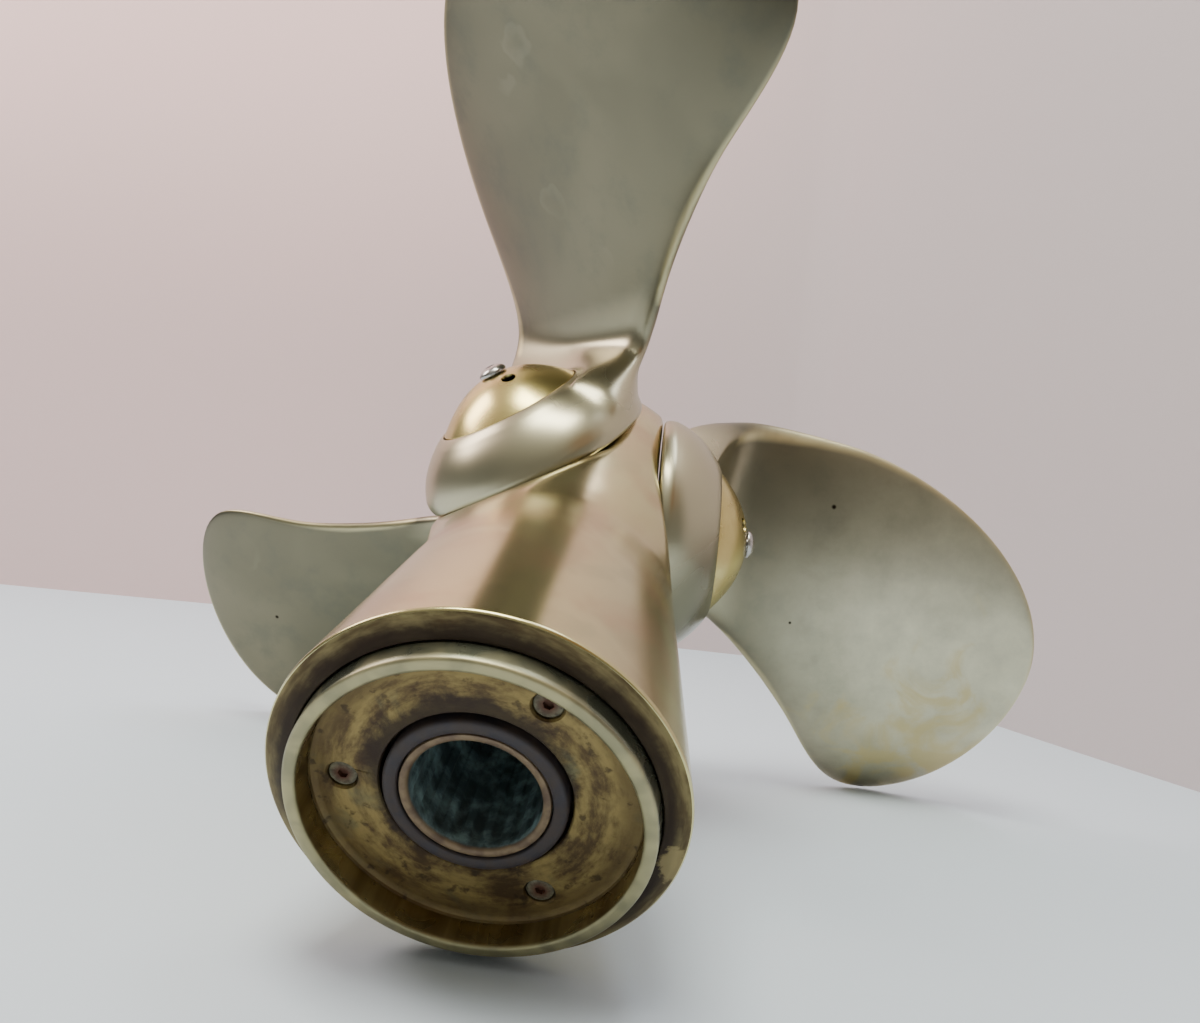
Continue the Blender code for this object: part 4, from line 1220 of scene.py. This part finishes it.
class PROPELLER_OT_stage(bpy.types.Operator):
    """Lay the table, stand the backdrop, light them softly, and place the camera."""

    bl_idname = "propeller.stage"
    bl_label = "Stage"

    def execute(self, context):
        self.table()
        self.backdrop()
        self.room()
        for light in LIGHTS:
            add_light(*light)
        self.camera(context)
        return {"FINISHED"}

    def table(self):
        deselect()
        bpy.ops.mesh.primitive_plane_add(size=1.0, location=(0, 0, 0))
        table = bpy.context.object
        table.name = table.data.name = "pale_table"
        bpy.ops.object.mode_set(mode="EDIT")
        bpy.ops.mesh.select_all(action="SELECT")
        bpy.ops.transform.resize(value=(10.0, 3.0, 1.0))
        bpy.ops.transform.translate(value=(0, -0.80, 0))
        bpy.ops.object.mode_set(mode="OBJECT")
        bpy.ops.object.transform_apply()
        table.data.materials.append(self.table_cloth())

    def backdrop(self):
        """A sheet of paper stood on edge, bent towards the camera on the right."""
        line = smooth_line(BACKDROP_LINE, 0.03)
        deselect()
        bpy.ops.mesh.primitive_plane_add(size=0.002, location=(*line[0], -0.02))
        paper = bpy.context.object
        paper.name = paper.data.name = "pale_backdrop"
        bpy.ops.object.mode_set(mode="EDIT")
        bpy.ops.mesh.merge(type="CENTER")
        for here, there in zip(line, line[1:]):
            step = (there[0] - here[0], there[1] - here[1], 0)
            bpy.ops.mesh.extrude_vertices_move(TRANSFORM_OT_translate={"value": step})
        bpy.ops.mesh.select_all(action="SELECT")
        bpy.ops.mesh.extrude_edges_move(TRANSFORM_OT_translate={"value": (0, 0, 1.0)})
        bpy.ops.object.mode_set(mode="OBJECT")
        bpy.ops.object.transform_apply()
        bpy.ops.object.shade_smooth()
        paper.data.materials.append(self.backdrop_paper())

    def table_cloth(self):
        """Plain matt cloth, cool white, in shade towards the front of the table."""
        material, tree, shader = start_material("pale_cloth", 0.0, 0.9)
        spot = node(tree, "ShaderNodeTexCoord", output="Object")
        front = node(tree, "ShaderNodeSeparateXYZ", {0: spot}, "Y")
        front = node(tree, "ShaderNodeMapRange", {0: front, 1: -0.55, 2: -0.95},
                     interpolation_type="SMOOTHSTEP")
        colour = node(tree, "ShaderNodeMix", {
            0: front, 6: linear("#d5e4f0"), 7: linear("#6f6d68")}, 2, data_type="RGBA")
        tree.links.new(colour, shader.inputs["Base Color"])
        return material

    def backdrop_paper(self):
        """Plain matt paper, faintly pink, with painted light on its upper left, and clear from
        behind so it hides no side view.
        """
        material, tree, shader = start_material("pale_paper", 0.0, 0.95)
        spot = node(tree, "ShaderNodeTexCoord", output="Object")
        side = node(tree, "ShaderNodeSeparateXYZ", {0: spot}, "X")
        side = node(tree, "ShaderNodeMapRange", {0: side, 1: -0.35, 2: 0.30},
                    interpolation_type="SMOOTHSTEP")
        colour = node(tree, "ShaderNodeMix", {
            0: side, 6: linear("#e0c6c5"), 7: linear("#c8bfc1")}, 2, data_type="RGBA")
        # Painted light: the upper left of the sheet is lighter.
        height = node(tree, "ShaderNodeSeparateXYZ", {0: spot}, "Z")
        high = node(tree, "ShaderNodeMapRange", {0: height, 1: 0.20, 2: 0.55},
                    interpolation_type="SMOOTHSTEP")
        left = node(tree, "ShaderNodeMapRange", {0: side, 3: 1.0, 4: 0.0})
        high = node(tree, "ShaderNodeMath", {0: high, 1: left}, operation="MULTIPLY")
        colour = node(tree, "ShaderNodeMix", {0: high, 6: colour, 7: linear("#ffdddb")}, 2,
                      data_type="RGBA")
        tree.links.new(colour, shader.inputs["Base Color"])
        # The sheet's faces point away from the propeller, which sees only their backs.
        inner_side = node(tree, "ShaderNodeNewGeometry", output="Backfacing")
        tree.links.new(inner_side, shader.inputs["Alpha"])
        return material

    def room(self):
        """Light from all round: pale walls behind, darker furniture in front and low left."""
        world = bpy.data.worlds.new("studio")
        bpy.context.scene.world = world
        world.use_nodes = True
        tree = world.node_tree
        look = node(tree, "ShaderNodeTexCoord", output="Generated")
        across = node(tree, "ShaderNodeSeparateXYZ", {0: look}, "X")
        along = node(tree, "ShaderNodeSeparateXYZ", {0: look}, "Y")
        height = node(tree, "ShaderNodeSeparateXYZ", {0: look}, "Z")
        back = node(tree, "ShaderNodeMapRange", {0: along, 1: -0.55, 2: 0.10},
                    interpolation_type="SMOOTHSTEP")
        above = node(tree, "ShaderNodeMapRange", {0: height, 1: 0.25, 2: 0.80},
                     interpolation_type="SMOOTHSTEP")
        front = node(tree, "ShaderNodeMix", {
            0: above, 6: linear("#908d85"), 7: linear("#c8c4b9")}, 2, data_type="RGBA")
        room = node(tree, "ShaderNodeMix", {
            0: back, 6: front, 7: linear("#e6cfca")}, 2, data_type="RGBA")
        left = node(tree, "ShaderNodeMapRange", {0: across, 1: -0.45, 2: -0.85},
                    interpolation_type="SMOOTHSTEP")
        low = node(tree, "ShaderNodeMapRange", {0: height, 1: 0.60, 2: 0.35},
                   interpolation_type="SMOOTHSTEP")
        above = node(tree, "ShaderNodeMapRange", {0: height, 1: -0.08, 2: 0.0},
                     interpolation_type="SMOOTHSTEP")
        shelf = node(tree, "ShaderNodeMath", {0: left, 1: low}, operation="MULTIPLY")
        shelf = node(tree, "ShaderNodeMath", {0: shelf, 1: above}, operation="MULTIPLY")
        room = node(tree, "ShaderNodeMix", {0: shelf, 6: room, 7: linear("#7c7e79")}, 2,
                    data_type="RGBA")
        warm = node(tree, "ShaderNodeVectorMath", {0: look, 1: (0.506, -0.604, 0.616)},
                    "Value", operation="DOT_PRODUCT")
        warm = node(tree, "ShaderNodeMapRange", {0: warm, 1: 0.95, 2: 0.99},
                    interpolation_type="SMOOTHSTEP")
        room = node(tree, "ShaderNodeMix", {0: warm, 6: room, 7: linear("#a87c54")}, 2,
                    data_type="RGBA")
        top = node(tree, "ShaderNodeMapRange", {0: height, 1: 0.75, 2: 0.97},
                   interpolation_type="SMOOTHSTEP")
        room = node(tree, "ShaderNodeMix", {0: top, 6: room, 7: linear("#d6d2c8")}, 2,
                    data_type="RGBA")
        background = tree.nodes["Background"]
        tree.links.new(room, background.inputs["Color"])
        background.inputs["Strength"].default_value = 0.9

    def camera(self, context):
        x, y, z = Vector(CAMERA_RIGHT), -Vector(CAMERA_DOWN), -Vector(CAMERA_FORWARD)
        view = Matrix((x, y, z)).transposed().to_4x4()
        view.translation = Vector(CAMERA_AT)
        data = bpy.data.cameras.new("camera")
        data.lens = CAMERA_LENS
        data.sensor_width = 36.0
        data.clip_start = 0.01
        camera = bpy.data.objects.new("camera", data)
        context.scene.collection.objects.link(camera)
        camera.matrix_world = HUB @ view
        context.scene.camera = camera


class PROPELLER_PT_pieces(bpy.types.Panel):
    """Lists the propeller's pieces, sizes and colours."""

    bl_label = "Propeller"
    bl_idname = "PROPELLER_PT_pieces"
    bl_space_type = "VIEW_3D"
    bl_region_type = "UI"
    bl_category = "Propeller"

    def draw(self, context):
        for operator in OPERATORS:
            self.layout.operator(operator.bl_idname)
        for group in (sizes(), colours()):
            for name in group.__annotations__:
                self.layout.prop(group, name)


OPERATORS = (PROPELLER_OT_hub, PROPELLER_OT_large_end, PROPELLER_OT_bush,
             PROPELLER_OT_blades, PROPELLER_OT_caps, PROPELLER_OT_stage)
CLASSES = (PropellerSizes, PropellerColours) + OPERATORS + (PROPELLER_PT_pieces,)


def register():
    for cls in CLASSES:
        bpy.utils.register_class(cls)
    bpy.types.Scene.propeller_sizes = bpy.props.PointerProperty(type=PropellerSizes)
    bpy.types.Scene.propeller_colours = bpy.props.PointerProperty(type=PropellerColours)


def unregister():
    del bpy.types.Scene.propeller_colours
    del bpy.types.Scene.propeller_sizes
    for cls in reversed(CLASSES):
        bpy.utils.unregister_class(cls)


def main():
    register()
    bpy.ops.propeller.hub()
    bpy.ops.propeller.large_end()
    bpy.ops.propeller.bush()
    bpy.ops.propeller.blades()
    bpy.ops.propeller.caps()
    bpy.ops.propeller.stage()


if __name__ == "__main__":
    main()
